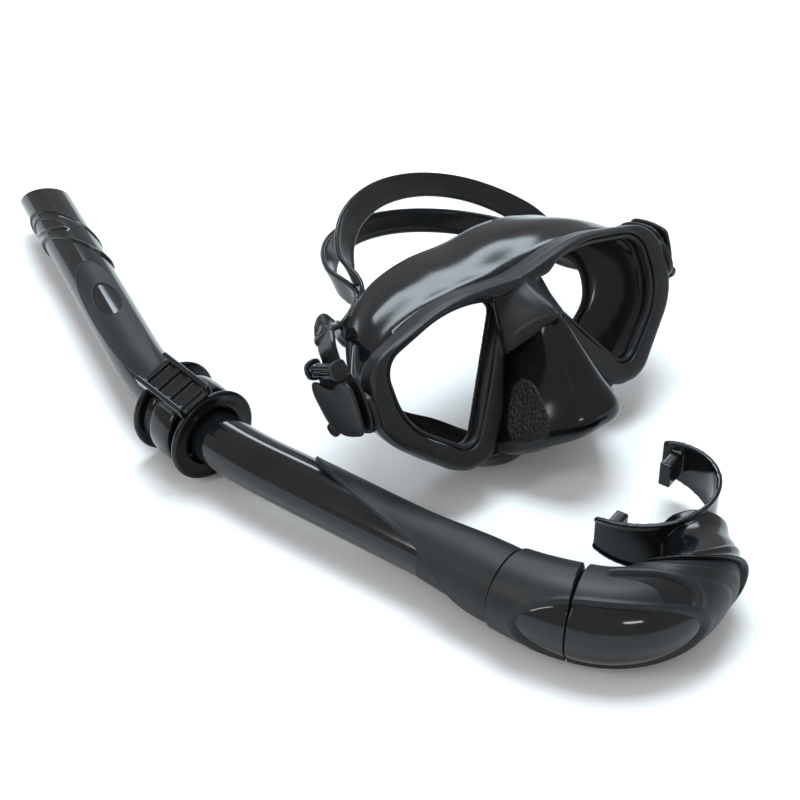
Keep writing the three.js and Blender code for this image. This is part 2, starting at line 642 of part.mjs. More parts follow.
function buildKeeper(group) {
  const profile = [
    [SPOOL_BORE, -FLANGE_X[1]], [FLANGE_R - 0.6, -FLANGE_X[1]], [FLANGE_R, -FLANGE_X[1] + 0.8],
    [FLANGE_R, -FLANGE_X[0] - 0.8], [FLANGE_R - 0.6, -FLANGE_X[0]], [HUB_R, -FLANGE_X[0]],
    [HUB_R, FLANGE_X[0]], [FLANGE_R - 0.6, FLANGE_X[0]], [FLANGE_R, FLANGE_X[0] + 0.8],
    [FLANGE_R, FLANGE_X[1] - 0.8], [FLANGE_R - 0.6, FLANGE_X[1]], [SPOOL_BORE, FLANGE_X[1]],
  ];
  const closed = [...profile, profile[0]].map(([r, x]) => new THREE.Vector2(r, x));
  const spool = new THREE.LatheGeometry(closed, 28);
  spool.rotateZ(-Math.PI / 2);
  const spoolMesh = addMesh(group, 'keeper_spool', solid(outward(positionsOnly(spool))), silicone);
  spoolMesh.position.x = SPOOL_SHIFT;

  const ringIn = HUB_R + 0.35;
  const ringOut = ringIn + 2;
  const half = 6.5;
  const ringProfile = [[ringIn, -half], [ringOut, -half], [ringOut, half], [ringIn, half], [ringIn, -half]];
  const ring = new THREE.LatheGeometry(ringProfile.map(([r, x]) => new THREE.Vector2(r, x)), 32);
  ring.rotateZ(-Math.PI / 2);
  let clip = solid(outward(positionsOnly(ring)));
  const floor = FLANGE_R + 0.7;
  clip = clip.add(block([-half, half], [-8, 8], [ringOut - 2, floor + 0.4]).subtract(
    rod('x', ringIn + 0.4, -20, 20, [0, 0, 0], 32)));
  clip = clip.add(block([-15, 15], [-8.4, 8.4], [floor, floor + 1.6]));
  [-1, 1].forEach((s) => {
    const rail = [s * 8.4, s * 6.2].sort((a, b) => a - b);
    clip = clip.add(block([-15, 15], rail, [floor + 0.6, floor + 5]));
  });
  [-10, -1, 8].forEach((x) => {
    clip = clip.add(block([x, x + 3], [-7, 7], [floor + 0.8, floor + 3.2]));
  });
  const placed = surface(clip);
  placed.rotateX(THREE.MathUtils.degToRad(CLIP_ROLL));
  const clipMesh = addMesh(group, 'keeper_clip', placed, gloss);
  clipMesh.position.x = SPOOL_SHIFT;
}

// ---- snorkel foot: sleeve, elbow, mouthpiece ------------------------------------------------
function footSize(t) {
  const s = (t - SEAM_1) / (SEAM_3 - SEAM_1);
  const swell = Math.sin(Math.PI * THREE.MathUtils.clamp(s, 0, 1));
  return [16 + 2 * swell, 16.4 + 2.6 * swell];
}

function buildFoot(group) {
  const bore = 11.5;
  const section = (from, to) => (s) => [...footSize(from + (to - from) * s), bore];
  const sleeveFrom = SEAM_1 + mm(0.2);
  let sleeve = pipe(sleeveFrom, SEAM_2 - mm(0.2), 3, 20, section(sleeveFrom, SEAM_2));
  sleeve = sleeve.subtract(seamWedge(SEAM_1, 17, SEAM_WEDGE)).subtract(seamWedge(SEAM_2, 17, SEAM_WEDGE));
  const elbowFrom = SEAM_2 + mm(0.2);
  let elbow = pipe(elbowFrom, SEAM_3, 8, 20, section(elbowFrom, SEAM_3));
  elbow = elbow.subtract(seamWedge(SEAM_2, 17, SEAM_WEDGE));

  const middle = tubePoint(SEAM_2 + mm(8));
  const along = tubeHeading(SEAM_2 + mm(8));
  const inlay = new THREE.SphereGeometry(1, 20, 12);
  inlay.scale(28, 5, 12);
  inlay.rotateX(THREE.MathUtils.degToRad(-15));
  inlay.rotateZ(Math.atan2(along.y, along.x));
  inlay.translate(middle.x + 16.5 * along.y, middle.y - 16.5 * along.x, 4);
  const oval = solid(inlay);
  addMesh(group, 'sleeve', sleeve.subtract(oval), soft);
  addMesh(group, 'elbow', elbow.subtract(oval), soft);
  addMesh(group, 'sleeve_inlay', sleeve.intersect(oval), gloss);
  addMesh(group, 'elbow_inlay', elbow.intersect(oval), gloss);
}

// The mouth plate follows an arc round the wearer's teeth, in the same plane as the tube.
const MOUTH = { x: 151, y: 103, r: 28, from: -88, to: 118 };
const TABS = [{ angle: -75, size: [10, 5, 11] }, { angle: 105, size: [10, 5, 11] }];
const TAB_INSET = 6;             // how far inside the plate's arc a bite tab has its middle

function onMouthArc(angle, inset) {
  const turn = THREE.MathUtils.degToRad(angle);
  const r = MOUTH.r - inset;
  return vec(MOUTH.x + r * Math.cos(turn), MOUTH.y + r * Math.sin(turn), 0);
}

function mouthPlate() {
  const rings = [];
  const steps = 20;
  for (let i = 0; i <= steps; i += 1) {
    const s = i / steps;
    const angle = MOUTH.from + (MOUTH.to - MOUTH.from) * s;
    const p = onMouthArc(angle, 0);
    const out = onMouthArc(angle, -1).sub(p);
    const half = 7 + 5.5 * Math.sin(Math.PI * s) ** 0.6;
    const corner = (a, b) => p.clone().addScaledVector(out, a).add(vec(0, 0, b));
    rings.push([
      corner(0.9, -half), corner(1.2, 0), corner(0.9, half), corner(-0.9, half), corner(-1.2, 0),
      corner(-0.9, -half),
    ]);
  }
  return solid(loft(rings));
}

function buildMouthpiece(group) {
  const from = SEAM_3 + mm(0.8);
  const neckSize = (s) => [17.5 - 3 * s, 16.5 - 5.5 * s, 11 - 3.5 * s];
  let piece = pipe(from, 1, 4, 20, neckSize);
  piece = piece.add(mouthPlate());
  const end = tubePoint(1);
  const air = new THREE.CylinderGeometry(7.4, 7.4, 26, 20);
  air.rotateZ(-Math.PI / 2);
  air.rotateZ(walk(1).heading);
  air.translate(end.x, end.y, 0);
  piece = piece.subtract(solid(air));
  TABS.forEach(({ angle, size }) => {
    const tab = new THREE.BoxGeometry(...size);
    tab.rotateZ(THREE.MathUtils.degToRad(angle));
    tab.translate(...onMouthArc(angle, TAB_INSET).toArray());
    piece = piece.add(solid(tab));
  });
  addMesh(group, 'mouthpiece', piece, silicone);
}

const snorkel = new THREE.Group();
snorkel.position.set(...KEEPER_ORIGIN);
snorkel.rotation.z = -Math.PI / 2;
buildBarrel(snorkel);
buildKeeper(snorkel);
buildFoot(snorkel);
buildMouthpiece(snorkel);

const model = new THREE.Group();
model.position.set(...BASE_SHIFT);
model.add(mask, snorkel);
export default model;
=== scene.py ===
"""A low-volume dive mask with a J snorkel beside it. Local tables are in millimetres."""

import json
import math

import bmesh
import bpy
import numpy as np
from mathutils import Matrix, Vector


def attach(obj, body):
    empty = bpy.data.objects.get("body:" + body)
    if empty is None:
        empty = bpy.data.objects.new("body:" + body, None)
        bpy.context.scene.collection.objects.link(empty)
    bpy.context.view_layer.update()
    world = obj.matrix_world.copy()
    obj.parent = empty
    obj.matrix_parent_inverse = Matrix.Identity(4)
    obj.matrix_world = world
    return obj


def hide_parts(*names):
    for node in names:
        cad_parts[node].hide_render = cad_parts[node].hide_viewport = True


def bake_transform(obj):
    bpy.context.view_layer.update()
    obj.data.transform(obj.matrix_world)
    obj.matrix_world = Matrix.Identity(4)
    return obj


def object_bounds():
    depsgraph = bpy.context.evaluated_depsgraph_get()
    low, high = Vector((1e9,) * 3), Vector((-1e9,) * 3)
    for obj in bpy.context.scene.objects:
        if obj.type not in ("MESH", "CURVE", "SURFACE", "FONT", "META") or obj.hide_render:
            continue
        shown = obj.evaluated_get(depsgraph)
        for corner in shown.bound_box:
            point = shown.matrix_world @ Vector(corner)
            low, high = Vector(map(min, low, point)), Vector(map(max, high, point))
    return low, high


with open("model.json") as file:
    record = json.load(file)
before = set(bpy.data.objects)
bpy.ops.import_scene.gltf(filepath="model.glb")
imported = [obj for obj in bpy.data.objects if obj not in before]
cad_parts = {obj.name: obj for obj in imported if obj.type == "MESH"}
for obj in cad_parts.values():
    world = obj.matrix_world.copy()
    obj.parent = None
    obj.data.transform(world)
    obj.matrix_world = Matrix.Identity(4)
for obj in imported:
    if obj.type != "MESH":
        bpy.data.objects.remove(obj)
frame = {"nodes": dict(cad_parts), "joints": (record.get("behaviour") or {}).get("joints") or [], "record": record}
cad_box = [list(map(float, corner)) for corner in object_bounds()]

MM = 0.001
JOINTS = {joint["name"]: joint for joint in frame["joints"]}
MOUNTS = {mount["name"]: mount for mount in frame["record"]["mounts"]}

# ---- frames of the two assemblies ---------------------------------------------------------
left_glass = MOUNTS["left_lens_front"]
right_glass = MOUNTS["right_lens_front"]
mask_y = -Vector(left_glass["axis"]).normalized()
mask_x = (Vector(right_glass["pos_m"]) - Vector(left_glass["pos_m"])).normalized()
mask_z = mask_x.cross(mask_y)
glass_middle = (Vector(left_glass["pos_m"]) + Vector(right_glass["pos_m"])) / 2
GLASS_LOCAL = Vector((0, 1, -15)) * MM       # middle of the lens mounts in the mask's own frame
mask_turn = Matrix((mask_x, mask_y, mask_z)).transposed()
MASK = Matrix.Translation(glass_middle - mask_turn @ GLASS_LOCAL) @ mask_turn.to_4x4()

KEEPER_SHIFT = 5 * MM                         # the keeper sits this far up the tube from the origin
keeper = Vector(JOINTS["keeper_clip_turn"]["pos_m"]) - Vector((0, KEEPER_SHIFT, 0))
SNORKEL = Matrix.Translation(keeper) @ Matrix.Rotation(-math.pi / 2, 4, "Z")

PIVOT = (11.5, -11.5)                         # swivel of a buckle, mask y and z
RIGHT_SWIVEL = math.radians(-78)
LEFT_BUCKLE = MASK @ Matrix.Diagonal((-1, 1, 1, 1))
pivot_at = Matrix.Translation(Vector((0, PIVOT[0], PIVOT[1])) * MM)
RIGHT_BUCKLE = MASK @ pivot_at @ Matrix.Rotation(RIGHT_SWIVEL, 4, "X") @ pivot_at.inverted()


# ---- materials ----------------------------------------------------------------------------
def plastic(name, dark, light, rough, rough_change, grain_size, grain_depth, blotch=60.0, coat=0.0,
            cells=False, specular=0.28):
    """A surface whose colour and gloss wander a little, with a fine grain (sizes in mm) in its relief."""
    mat = bpy.data.materials.new(name)
    mat.use_nodes = True
    nodes, links = mat.node_tree.nodes, mat.node_tree.links
    shader = nodes["Principled BSDF"]
    place = nodes.new("ShaderNodeTexCoord")
    clouds = nodes.new("ShaderNodeTexNoise")
    clouds.inputs["Scale"].default_value = blotch
    clouds.inputs["Detail"].default_value = 6
    links.new(place.outputs["Object"], clouds.inputs["Vector"])
    ramp = nodes.new("ShaderNodeValToRGB")
    ramp.color_ramp.elements[0].position = 0.35
    ramp.color_ramp.elements[1].position = 0.68
    ramp.color_ramp.elements[0].color = (*dark, 1)
    ramp.color_ramp.elements[1].color = (*light, 1)
    links.new(clouds.outputs["Fac"], ramp.inputs["Fac"])
    links.new(ramp.outputs["Color"], shader.inputs["Base Color"])
    gloss = nodes.new("ShaderNodeMapRange")
    gloss.inputs["To Min"].default_value = rough - rough_change
    gloss.inputs["To Max"].default_value = rough + rough_change
    links.new(clouds.outputs["Fac"], gloss.inputs["Value"])
    links.new(gloss.outputs["Result"], shader.inputs["Roughness"])
    grain = nodes.new("ShaderNodeTexVoronoi" if cells else "ShaderNodeTexNoise")
    grain.inputs["Scale"].default_value = 1 / (grain_size * MM)
    links.new(place.outputs["Object"], grain.inputs["Vector"])
    bump = nodes.new("ShaderNodeBump")
    bump.inputs["Strength"].default_value = 1.0
    bump.inputs["Distance"].default_value = grain_depth * MM
    if cells:
        bump.invert = True
    links.new(grain.outputs["Distance" if cells else "Fac"], bump.inputs["Height"])
    links.new(bump.outputs["Normal"], shader.inputs["Normal"])
    shader.inputs["Specular IOR Level"].default_value = specular
    shader.inputs["Coat Weight"].default_value = coat
    shader.inputs["Coat Roughness"].default_value = 0.08
    return mat


SILICONE = plastic(
    "silicone_gloss", (0.0035, 0.0040, 0.0048), (0.0065, 0.0072, 0.0082),
    rough=0.14, rough_change=0.04, grain_size=2.5, grain_depth=0.012)
STRAP_SILICONE = plastic(
    "strap_silicone", (0.0045, 0.0050, 0.0056), (0.0085, 0.0092, 0.0100),
    rough=0.22, rough_change=0.06, grain_size=2.0, grain_depth=0.015)
SATIN = plastic(
    "frame_satin", (0.0075, 0.0082, 0.0095), (0.0110, 0.0120, 0.0135),
    rough=0.38, rough_change=0.05, grain_size=0.5, grain_depth=0.012)
GLOSS = plastic(
    "gloss_plastic", (0.0035, 0.0042, 0.0050), (0.0065, 0.0075, 0.0085),
    rough=0.10, rough_change=0.03, grain_size=3.0, grain_depth=0.006, coat=0.2)
SOFT = plastic(
    "soft_overmould", (0.0090, 0.0105, 0.0120), (0.0135, 0.0150, 0.0170),
    rough=0.50, rough_change=0.05, grain_size=0.6, grain_depth=0.025)
FOOT = plastic(
    "foot_silicone", (0.0085, 0.0098, 0.0110), (0.0130, 0.0145, 0.0160),
    rough=0.44, rough_change=0.06, grain_size=0.5, grain_depth=0.04)
STIPPLE = plastic(
    "grip_stipple", (0.0060, 0.0066, 0.0075), (0.0110, 0.0120, 0.0135),
    rough=0.42, rough_change=0.05, grain_size=1.1, grain_depth=0.35, cells=True)
STEEL = plastic(
    "pin_steel", (0.45, 0.46, 0.47), (0.60, 0.61, 0.62),
    rough=0.3, rough_change=0.06, grain_size=0.4, grain_depth=0.005)
STEEL.node_tree.nodes["Principled BSDF"].inputs["Metallic"].default_value = 1.0
FLOOR = plastic(
    "floor_paper", (0.86, 0.86, 0.86), (0.88, 0.88, 0.88),
    rough=0.85, rough_change=0.03, grain_size=1.0, grain_depth=0.002, blotch=3.0)

def clear_glass(name):
    """A thin clear pane: little bending of the light, with a faint wander in tint and gloss."""
    mat = bpy.data.materials.new(name)
    mat.use_nodes = True
    nodes, links = mat.node_tree.nodes, mat.node_tree.links
    shader = nodes["Principled BSDF"]
    shader.inputs["Transmission Weight"].default_value = 1.0
    shader.inputs["IOR"].default_value = 1.12
    noise = nodes.new("ShaderNodeTexNoise")
    noise.inputs["Scale"].default_value = 25.0
    place = nodes.new("ShaderNodeTexCoord")
    links.new(place.outputs["Object"], noise.inputs["Vector"])
    tint = nodes.new("ShaderNodeValToRGB")
    tint.color_ramp.elements[0].color = (0.945, 0.952, 0.958, 1)
    tint.color_ramp.elements[1].color = (0.960, 0.966, 0.970, 1)
    links.new(noise.outputs["Fac"], tint.inputs["Fac"])
    links.new(tint.outputs["Color"], shader.inputs["Base Color"])
    gloss = nodes.new("ShaderNodeMapRange")
    gloss.inputs["To Min"].default_value = 0.0
    gloss.inputs["To Max"].default_value = 0.03
    links.new(noise.outputs["Fac"], gloss.inputs["Value"])
    links.new(gloss.outputs["Result"], shader.inputs["Roughness"])
    return mat


GLASS = clear_glass("lens_glass")


# ---- curves and lofts ---------------------------------------------------------------------
def spline(points, count, closed=False):
    """Centripetal curve through the points, as count points evenly spaced along it."""
    p = np.array(points, float)
    ends = [p[-1:], p, p[:2]] if closed else [2 * p[:1] - p[1:2], p, 2 * p[-1:] - p[-2:-1]]
    q = np.vstack(ends)
    fine = []
    for i in range(len(q) - 3):
        a, b, c, d = q[i:i + 4]
        k1, k2, k3 = (max(np.linalg.norm(v), 1e-6) ** 0.5 for v in (b - a, c - b, d - c))
        t1, t2, t3 = k1, k1 + k2, k1 + k2 + k3
        t = np.linspace(t1, t2, 24, endpoint=False)[:, None]
        a1 = (t1 - t) / t1 * a + t / t1 * b
        a2 = (t2 - t) / k2 * b + (t - t1) / k2 * c
        a3 = (t3 - t) / k3 * c + (t - t2) / k3 * d
        b1 = (t2 - t) / t2 * a1 + t / t2 * a2
        b2 = (t3 - t) / (t3 - t1) * a2 + (t - t1) / (t3 - t1) * a3
        fine.append((t2 - t) / k2 * b1 + (t - t1) / k2 * b2)
    fine.append(p[:1] if closed else p[-1:])
    fine = np.vstack(fine)
    length = np.r_[0, np.cumsum(np.linalg.norm(np.diff(fine, axis=0), axis=1))]
    at = np.linspace(0, length[-1], count, endpoint=not closed)
    return np.column_stack([np.interp(at, length, column) for column in fine.T])


def rounded(corners, count):
    """Closed outline of straight sides and rounded corners, from (x, z, corner radius)."""
    points = []
    for i, (x, z, r) in enumerate(corners):
        here = np.array([x, z], float)
        before, after = (np.array(c[:2]) - here for c in (corners[i - 1], corners[(i + 1) % len(corners)]))
        before /= np.linalg.norm(before)
        after /= np.linalg.norm(after)
        half = math.acos(before @ after) / 2
        middle = (before + after) / np.linalg.norm(before + after)
        centre = here + middle * r / math.sin(half)
        reach = r / math.tan(half)
        start, end = (math.atan2(*(here + side * reach - centre)[::-1]) for side in (before, after))
        turn = (end - start + math.pi) % (2 * math.pi) - math.pi
        for angle in np.linspace(start, start + turn, 25):
            points.append(centre + r * np.array([math.cos(angle), math.sin(angle)]))
    line = np.array(points + points[:1])
    length = np.r_[0, np.cumsum(np.linalg.norm(np.diff(line, axis=0), axis=1))]
    at = np.linspace(0, length[-1], count, endpoint=False)
    return np.column_stack([np.interp(at, length, column) for column in line.T])


def loft(rings, wrap=False):
    """Closed rings (n, m, 3) joined in order, with flat ends unless they wrap round."""
    rings = np.asarray(rings, float)
    n, m, _ = rings.shape
    faces = []
    for i in range(n if wrap else n - 1):
        here, there = i * m, (i + 1) % n * m
        for j in range(m):
            k = (j + 1) % m
            faces.append((here + j, here + k, there + k, there + j))
    if not wrap:
        faces.append(tuple(reversed(range(m))))
        faces.append(tuple(range((n - 1) * m, n * m)))
    return rings.reshape(-1, 3), faces


def sheet_of(grid):
    """An open surface over a grid (n, m, 3)."""
    grid = np.asarray(grid, float)
    n, m, _ = grid.shape
    faces = [(i * m + j, i * m + j + 1, (i + 1) * m + j + 1, (i + 1) * m + j)
             for i in range(n - 1) for j in range(m - 1)]
    return grid.reshape(-1, 3), faces


def shape(name, parts, place, material, sharp=40):
    """A mesh object from (points in mm, faces) parts, placed by a matrix in metres."""
    mesh = bpy.data.meshes.new(name)
    points, faces, base = [], [], 0
    for part_points, part_faces in parts:
        points.extend((np.asarray(part_points) * MM).tolist())
        faces.extend([tuple(base + i for i in face) for face in part_faces])
        base += len(part_points)
    mesh.from_pydata(points, [], faces)
    mesh.transform(place)
    work = bmesh.new()
    work.from_mesh(mesh)
    bmesh.ops.recalc_face_normals(work, faces=work.faces)
    work.to_mesh(mesh)
    work.free()
    shade(mesh, sharp)
    obj = bpy.data.objects.new(name, mesh)
    bpy.context.scene.collection.objects.link(obj)
    mesh.materials.append(material)
    return obj


def shade(mesh, sharp):
    mesh.polygons.foreach_set("use_smooth", [True] * len(mesh.polygons))
    mesh.set_sharp_from_angle(angle=math.radians(sharp))
    mesh.update()


def apply(obj, sharp=60):
    """Bakes the object's modifiers into its mesh."""
    evaluated = obj.evaluated_get(bpy.context.evaluated_depsgraph_get())
    mesh = bpy.data.meshes.new_from_object(evaluated)
    obj.modifiers.clear()
    obj.data = mesh
    shade(mesh, sharp)
    return obj


def fuse(obj, voxel, rounds):
    """Joins overlapping closed bodies into one skin with softened edges."""
    remesh = obj.modifiers.new("join", "REMESH")
    remesh.mode = "VOXEL"
    remesh.voxel_size = voxel * MM
    ease_out = obj.modifiers.new("ease", "SMOOTH")
    ease_out.factor = 0.5
    ease_out.iterations = rounds
    return apply(obj, 70)


def thicken(obj, depth, offset=-1):
    """Gives an open surface a wall, depth mm thick."""
    wall = obj.modifiers.new("wall", "SOLIDIFY")
    wall.thickness = depth * MM
    wall.offset = offset
    return apply(obj)


def piece(obj, body, slot, *nodes):
    """Makes the object ride a body and stand for the named CAD nodes."""
    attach(obj, body)
    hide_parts(*nodes)
    return obj


def ease(t):
    t = np.clip(t, 0, 1)
    return t * t * (3 - 2 * t)


def ramp_up(value, low, high):
    return ease((value - low) / (high - low))


def bead(value, middle, width):
    """A smooth raised line, 1 high where the value is at its middle."""
    return np.exp(-((value - middle) / width) ** 2)


# ---- mask outlines ------------------------------------------------------------------------
# Corners of the frame's right half, from the middle of the brow round to the nose arch.
FRAME_HALF = [
    (0, 12.6, 60), (36, 16.8, 70), (80.5, 4.5, 16), (82, -24, 30), (50, -53, 16), (36, -52, 10),
    (25, -39, 25), (9, -5, 5),
]
LENS = [(9.5, 5.2, 4), (33, 11.3, 60), (70, 2.5, 10), (69.5, -23, 26), (43, -45.5, 7)]
SKIRT_STATIONS = [
    # front x, z      back x, y, z      lip x, y, z
    (0, 12.5, 0, 38, 27, 0, 34, 15), (20, 13.5, 20, 39, 27.5, 19, 35, 15),
    (40, 13.5, 40, 38, 24.5, 36, 35, 12), (58, 10, 56, 35, 17.5, 49, 33, 6),
    (71, 3.5, 65, 31, 7, 55, 31, -1), (79, -9, 69.5, 29, -7, 58, 30, -9),
    (77, -23, 67, 29, -21, 56, 31, -20), (66, -38, 57, 31, -34, 48, 33, -28),
    (50, -50, 42, 31, -46, 35, 34, -37), (36, -54, 28, 24, -59, 24, 33, -46),
    (20, -57, 18, 18, -63.5, 17, 32, -51), (0, -58, 0, 22, -60.5, 0, 32, -50),
]
NOSE = [
    # z, half-width at the frame, half-width of the ridge, y of the ridge
    (-2, 5.5, 2, -12), (-8, 9, 4.8, -21), (-20, 14, 6.5, -25), (-35, 21.8, 9, -28.5),
    (-48, 29, 11.5, -31.5), (-53, 28, 11.5, -29), (-56.5, 24, 10, -14),
]
LENS_CENTRE = np.array([42.0, -14.0])
FRAME_FRONT, FRAME_BACK, LENS_FRONT, LENS_BACK = -2.5, 6.5, 1.0, 4.0
POCKET = 2.2
lens_line = rounded(LENS, 240)
frame_whole = rounded(FRAME_HALF + [(-x, z, r) for x, z, r in FRAME_HALF[:0:-1]], 480)
frame_line = frame_whole[frame_whole[:, 0] >= 0]


def grown(line, distance):
    """A closed line moved outwards by a distance."""
    along = np.roll(line, -1, axis=0) - np.roll(line, 1, axis=0)
    along /= np.linalg.norm(along, axis=1)[:, None]
    area = np.sum(line[:, 0] * np.roll(line[:, 1], -1) - np.roll(line[:, 0], -1) * line[:, 1])
    turn = 1 if area > 0 else -1
    return line + np.column_stack([along[:, 1], -along[:, 0]]) * distance * turn


def crossing(line, angle):
    """Where a ray from the lens centre at this angle leaves a closed line round it."""
    seen = np.unwrap(np.arctan2(*(line - LENS_CENTRE).T[::-1]))
    reach = np.linalg.norm(line - LENS_CENTRE, axis=1)
    order = np.argsort(seen)
    return np.interp(angle, seen[order], reach[order], period=2 * math.pi)


def profile_band(inner, outer, profile):
    """Rings from (share of the way out, mm added, y) profile points between two closed lines."""
    rings = []
    for angle in np.linspace(0, 2 * math.pi, 300, endpoint=False):
        low, high = crossing(inner, angle), crossing(outer, angle)
        way = np.array([math.cos(angle), math.sin(angle)])
        ring = []
        for share, extra, y in profile:
            flat = LENS_CENTRE + way * (low + (high - low) * share + extra)
            ring.append((flat[0], y, flat[1]))
        rings.append(ring)
    return loft(rings, wrap=True)


def flip(part):
    """A part mirrored to the other side of the mask."""
    points, faces = part
    return np.asarray(points) * np.array([-1, 1, 1]), faces


# ---- frame --------------------------------------------------------------------------------
half_line = np.vstack([frame_line, [[-1, -5]], [[-1, 12.8]]])
FRAME_PROFILE = [
    (0, POCKET, -2.0), (0, POCKET + 0.7, FRAME_FRONT), (0.5, 0.6, FRAME_FRONT - 0.15), (1, -1.7, FRAME_FRONT),
    (1, -0.5, FRAME_FRONT + 0.7), (1, 0, FRAME_FRONT + 2), (1, 0, FRAME_BACK - 1), (1, -1, FRAME_BACK),
    (0, 0.1, FRAME_BACK), (0, 0.1, LENS_BACK + 0.3), (0, POCKET, LENS_BACK + 0.3),
]
surround = profile_band(lens_line, half_line, FRAME_PROFILE)


def top_of(line, x):
    """Height of the uppermost place where a closed line crosses x."""
    here, there = line, np.roll(line, -1, axis=0)
    hit = (here[:, 0] - x) * (there[:, 0] - x) <= 0
    here, there = here[hit], there[hit]
    way = (x - here[:, 0]) / (there[:, 0] - here[:, 0] + 1e-9)
    return (here[:, 1] + way * (there[:, 1] - here[:, 1])).max()


VISOR_HALF = 66.0          # half the width of the brow shelf
VISOR_LOW = 7.5            # height of its lower edge over the nose
NOSE_HALF = 12.0           # how far out from the middle that height holds


def visor():
    """The brow shelf, with a lip that stands forward over the lenses."""
    rings = []
    for x in np.linspace(-VISOR_HALF, VISOR_HALF, 90):
        out = abs(x)
        low = VISOR_LOW
        if out >= NOSE_HALF:
            over_lens = top_of(lens_line, out) + POCKET + 0.3
            low = VISOR_LOW + (over_lens - VISOR_LOW) * ease((out - NOSE_HALF) / 8)
        high = top_of(frame_line, out) - 0.2
        reach = -3 - 6 * math.cos(out / VISOR_HALF * math.pi / 2)
        section = [
            (0, low), (reach + 1.2, low), (reach + 0.2, low + 0.5), (reach, (low + high) / 2 - 0.4),
            (reach + 0.7, high - 1.0), (reach * 0.5, high + 0.1), (0, high),
        ]
        rings.append([(x, y, z) for y, z in section])
    return loft(rings)


BRIDGE_TOP = 12            # height where the bridge leaves the brow
BRIDGE_BACK = -1.6


def bridge():
    """The faceted roof over the nose, from the brow down to its arched lip."""
    rings = []
    for down in np.linspace(0, 1, 40):
        lip = 0.5 if down > 0.86 else 0.0
        front = -8.5 - 15 * ease(down * 1.05)
        side_y = -3.2 - 2.2 * down
        ring = []
        for across in np.linspace(-1, 1, 41):
            out = abs(across)
            x = across * (12 + 5 * down)
            arch_z = -6.5 - 9.5 * out ** 3.2
            z = BRIDGE_TOP + (arch_z - BRIDGE_TOP) * down
            crease = 0.6 * max(0, 1 - out * 5)
            y = front + (side_y - front) * out ** (1.45 - 0.25 * down) - crease - lip
            ring.append((x, y, z))
        back = [(x, BRIDGE_BACK, z) for x, _, z in reversed(ring)]
        rings.append(ring + back)
    return loft(rings)


frame_body = shape("mask_frame", [surround, flip(surround), visor(), bridge()], MASK, SATIN)
fuse(frame_body, 0.42, 9)
piece(frame_body, "mask", "satin_black", "frame")

# ---- lenses and bezels ----------------------------------------------------------------------
PANE_CHAMFER = 0.3
BEZEL_BACK = LENS_FRONT - 0.35
pane_edge = grown(lens_line, 1.7)
pane_inset = grown(lens_line, 1.7 - PANE_CHAMFER)
pane_levels = [
    (pane_inset, LENS_FRONT), (pane_edge, LENS_FRONT + PANE_CHAMFER),
    (pane_edge, LENS_BACK - PANE_CHAMFER), (pane_inset, LENS_BACK),
]
pane_rings = [[(x, y, z) for x, z in line] for line, y in pane_levels]
bezel_band = profile_band(lens_line, grown(lens_line, 1.75), [
    (0, -0.1, BEZEL_BACK), (0, 0.05, -0.9), (0, 0.5, -1.45), (1, -0.35, -1.6), (1, 0, -1.3),
    (1, 0, BEZEL_BACK),
])

for side in (-1, 1):
    name = "right" if side > 0 else "left"
    place = MASK if side > 0 else MASK @ Matrix.Diagonal((-1, 1, 1, 1))
    pane = shape(f"{name}_lens_pane", [loft(pane_rings)], place, GLASS, 25)
    piece(pane, "mask", "lens_glass", f"{name}_lens")
    bezel = shape(f"{name}_bezel_ring", [bezel_band], place, SATIN, 50)
    piece(bezel, "mask", "satin_black", f"{name}_lens_bezel")


# ---- skirt --------------------------------------------------------------------------------
def skirt_shell():
    """The silicone from the frame back to the face, ending in a lip that turns in."""
    mirror = [(-a, b, -c, d, e, -f, g, h) for a, b, c, d, e, f, g, h in SKIRT_STATIONS[-2:0:-1]]
    stations = SKIRT_STATIONS + mirror
    fine = spline(stations, 264, closed=True)
    rings = []
    for fx, fz, bx, by, bz, lx, ly, lz in fine:
        front = np.array([fx, 6.8, fz])
        back = np.array([bx, by, bz])
        lip = np.array([lx, ly, lz])
        inward = np.array([fx * 0.3 - fx, 0, -18 - fz])
        inward /= np.linalg.norm(inward)
        y = np.array([0, 1, 0])
        middle = (front + back) / 2 - inward * 2.4
        section = [
            front, (front * 2 + middle) / 3 - inward * 0.3, middle, back + inward * 0.6 - y * 3, back,
            back + inward * 1.8 + y * 0.9, (back + lip) / 2 + inward * 0.9 + y * 0.8, lip,
            lip + inward * 0.2 - y * 1.3, (back + lip) / 2 + inward * 1.4 - y * 0.9,
            back + inward * 3.4 - y * 2.4, middle + inward * 2.2, front + inward * 3.2 + y * 2.2,
            front + inward * 6 + y * 2.2, front + inward * 6, front + inward * 2,
        ]
        rings.append(spline(section, 48, closed=True))
    return loft(rings, wrap=True)


NOSE_STEPS, NOSE_POINTS = 90, 81


def nose_line(z, back, ridge, front):
    """Half a turn round the nose at one height, from one side of the frame to the other."""
    mid = ridge + (back - ridge) * 0.62
    mid_y = max(-12, front * 0.45)
    half = [(back, 8.5), (back, 4.5), (mid, mid_y), (ridge + 1.2, front + 3.2), (ridge * 0.66, front + 0.35)]
    line = half + [(0, front)] + [(-x, y) for x, y in reversed(half)]
    flat = spline(line, NOSE_POINTS)
    return np.column_stack([flat, np.full(NOSE_POINTS, z)])


nose_grid = [nose_line(*station) for station in spline(NOSE, NOSE_STEPS)]
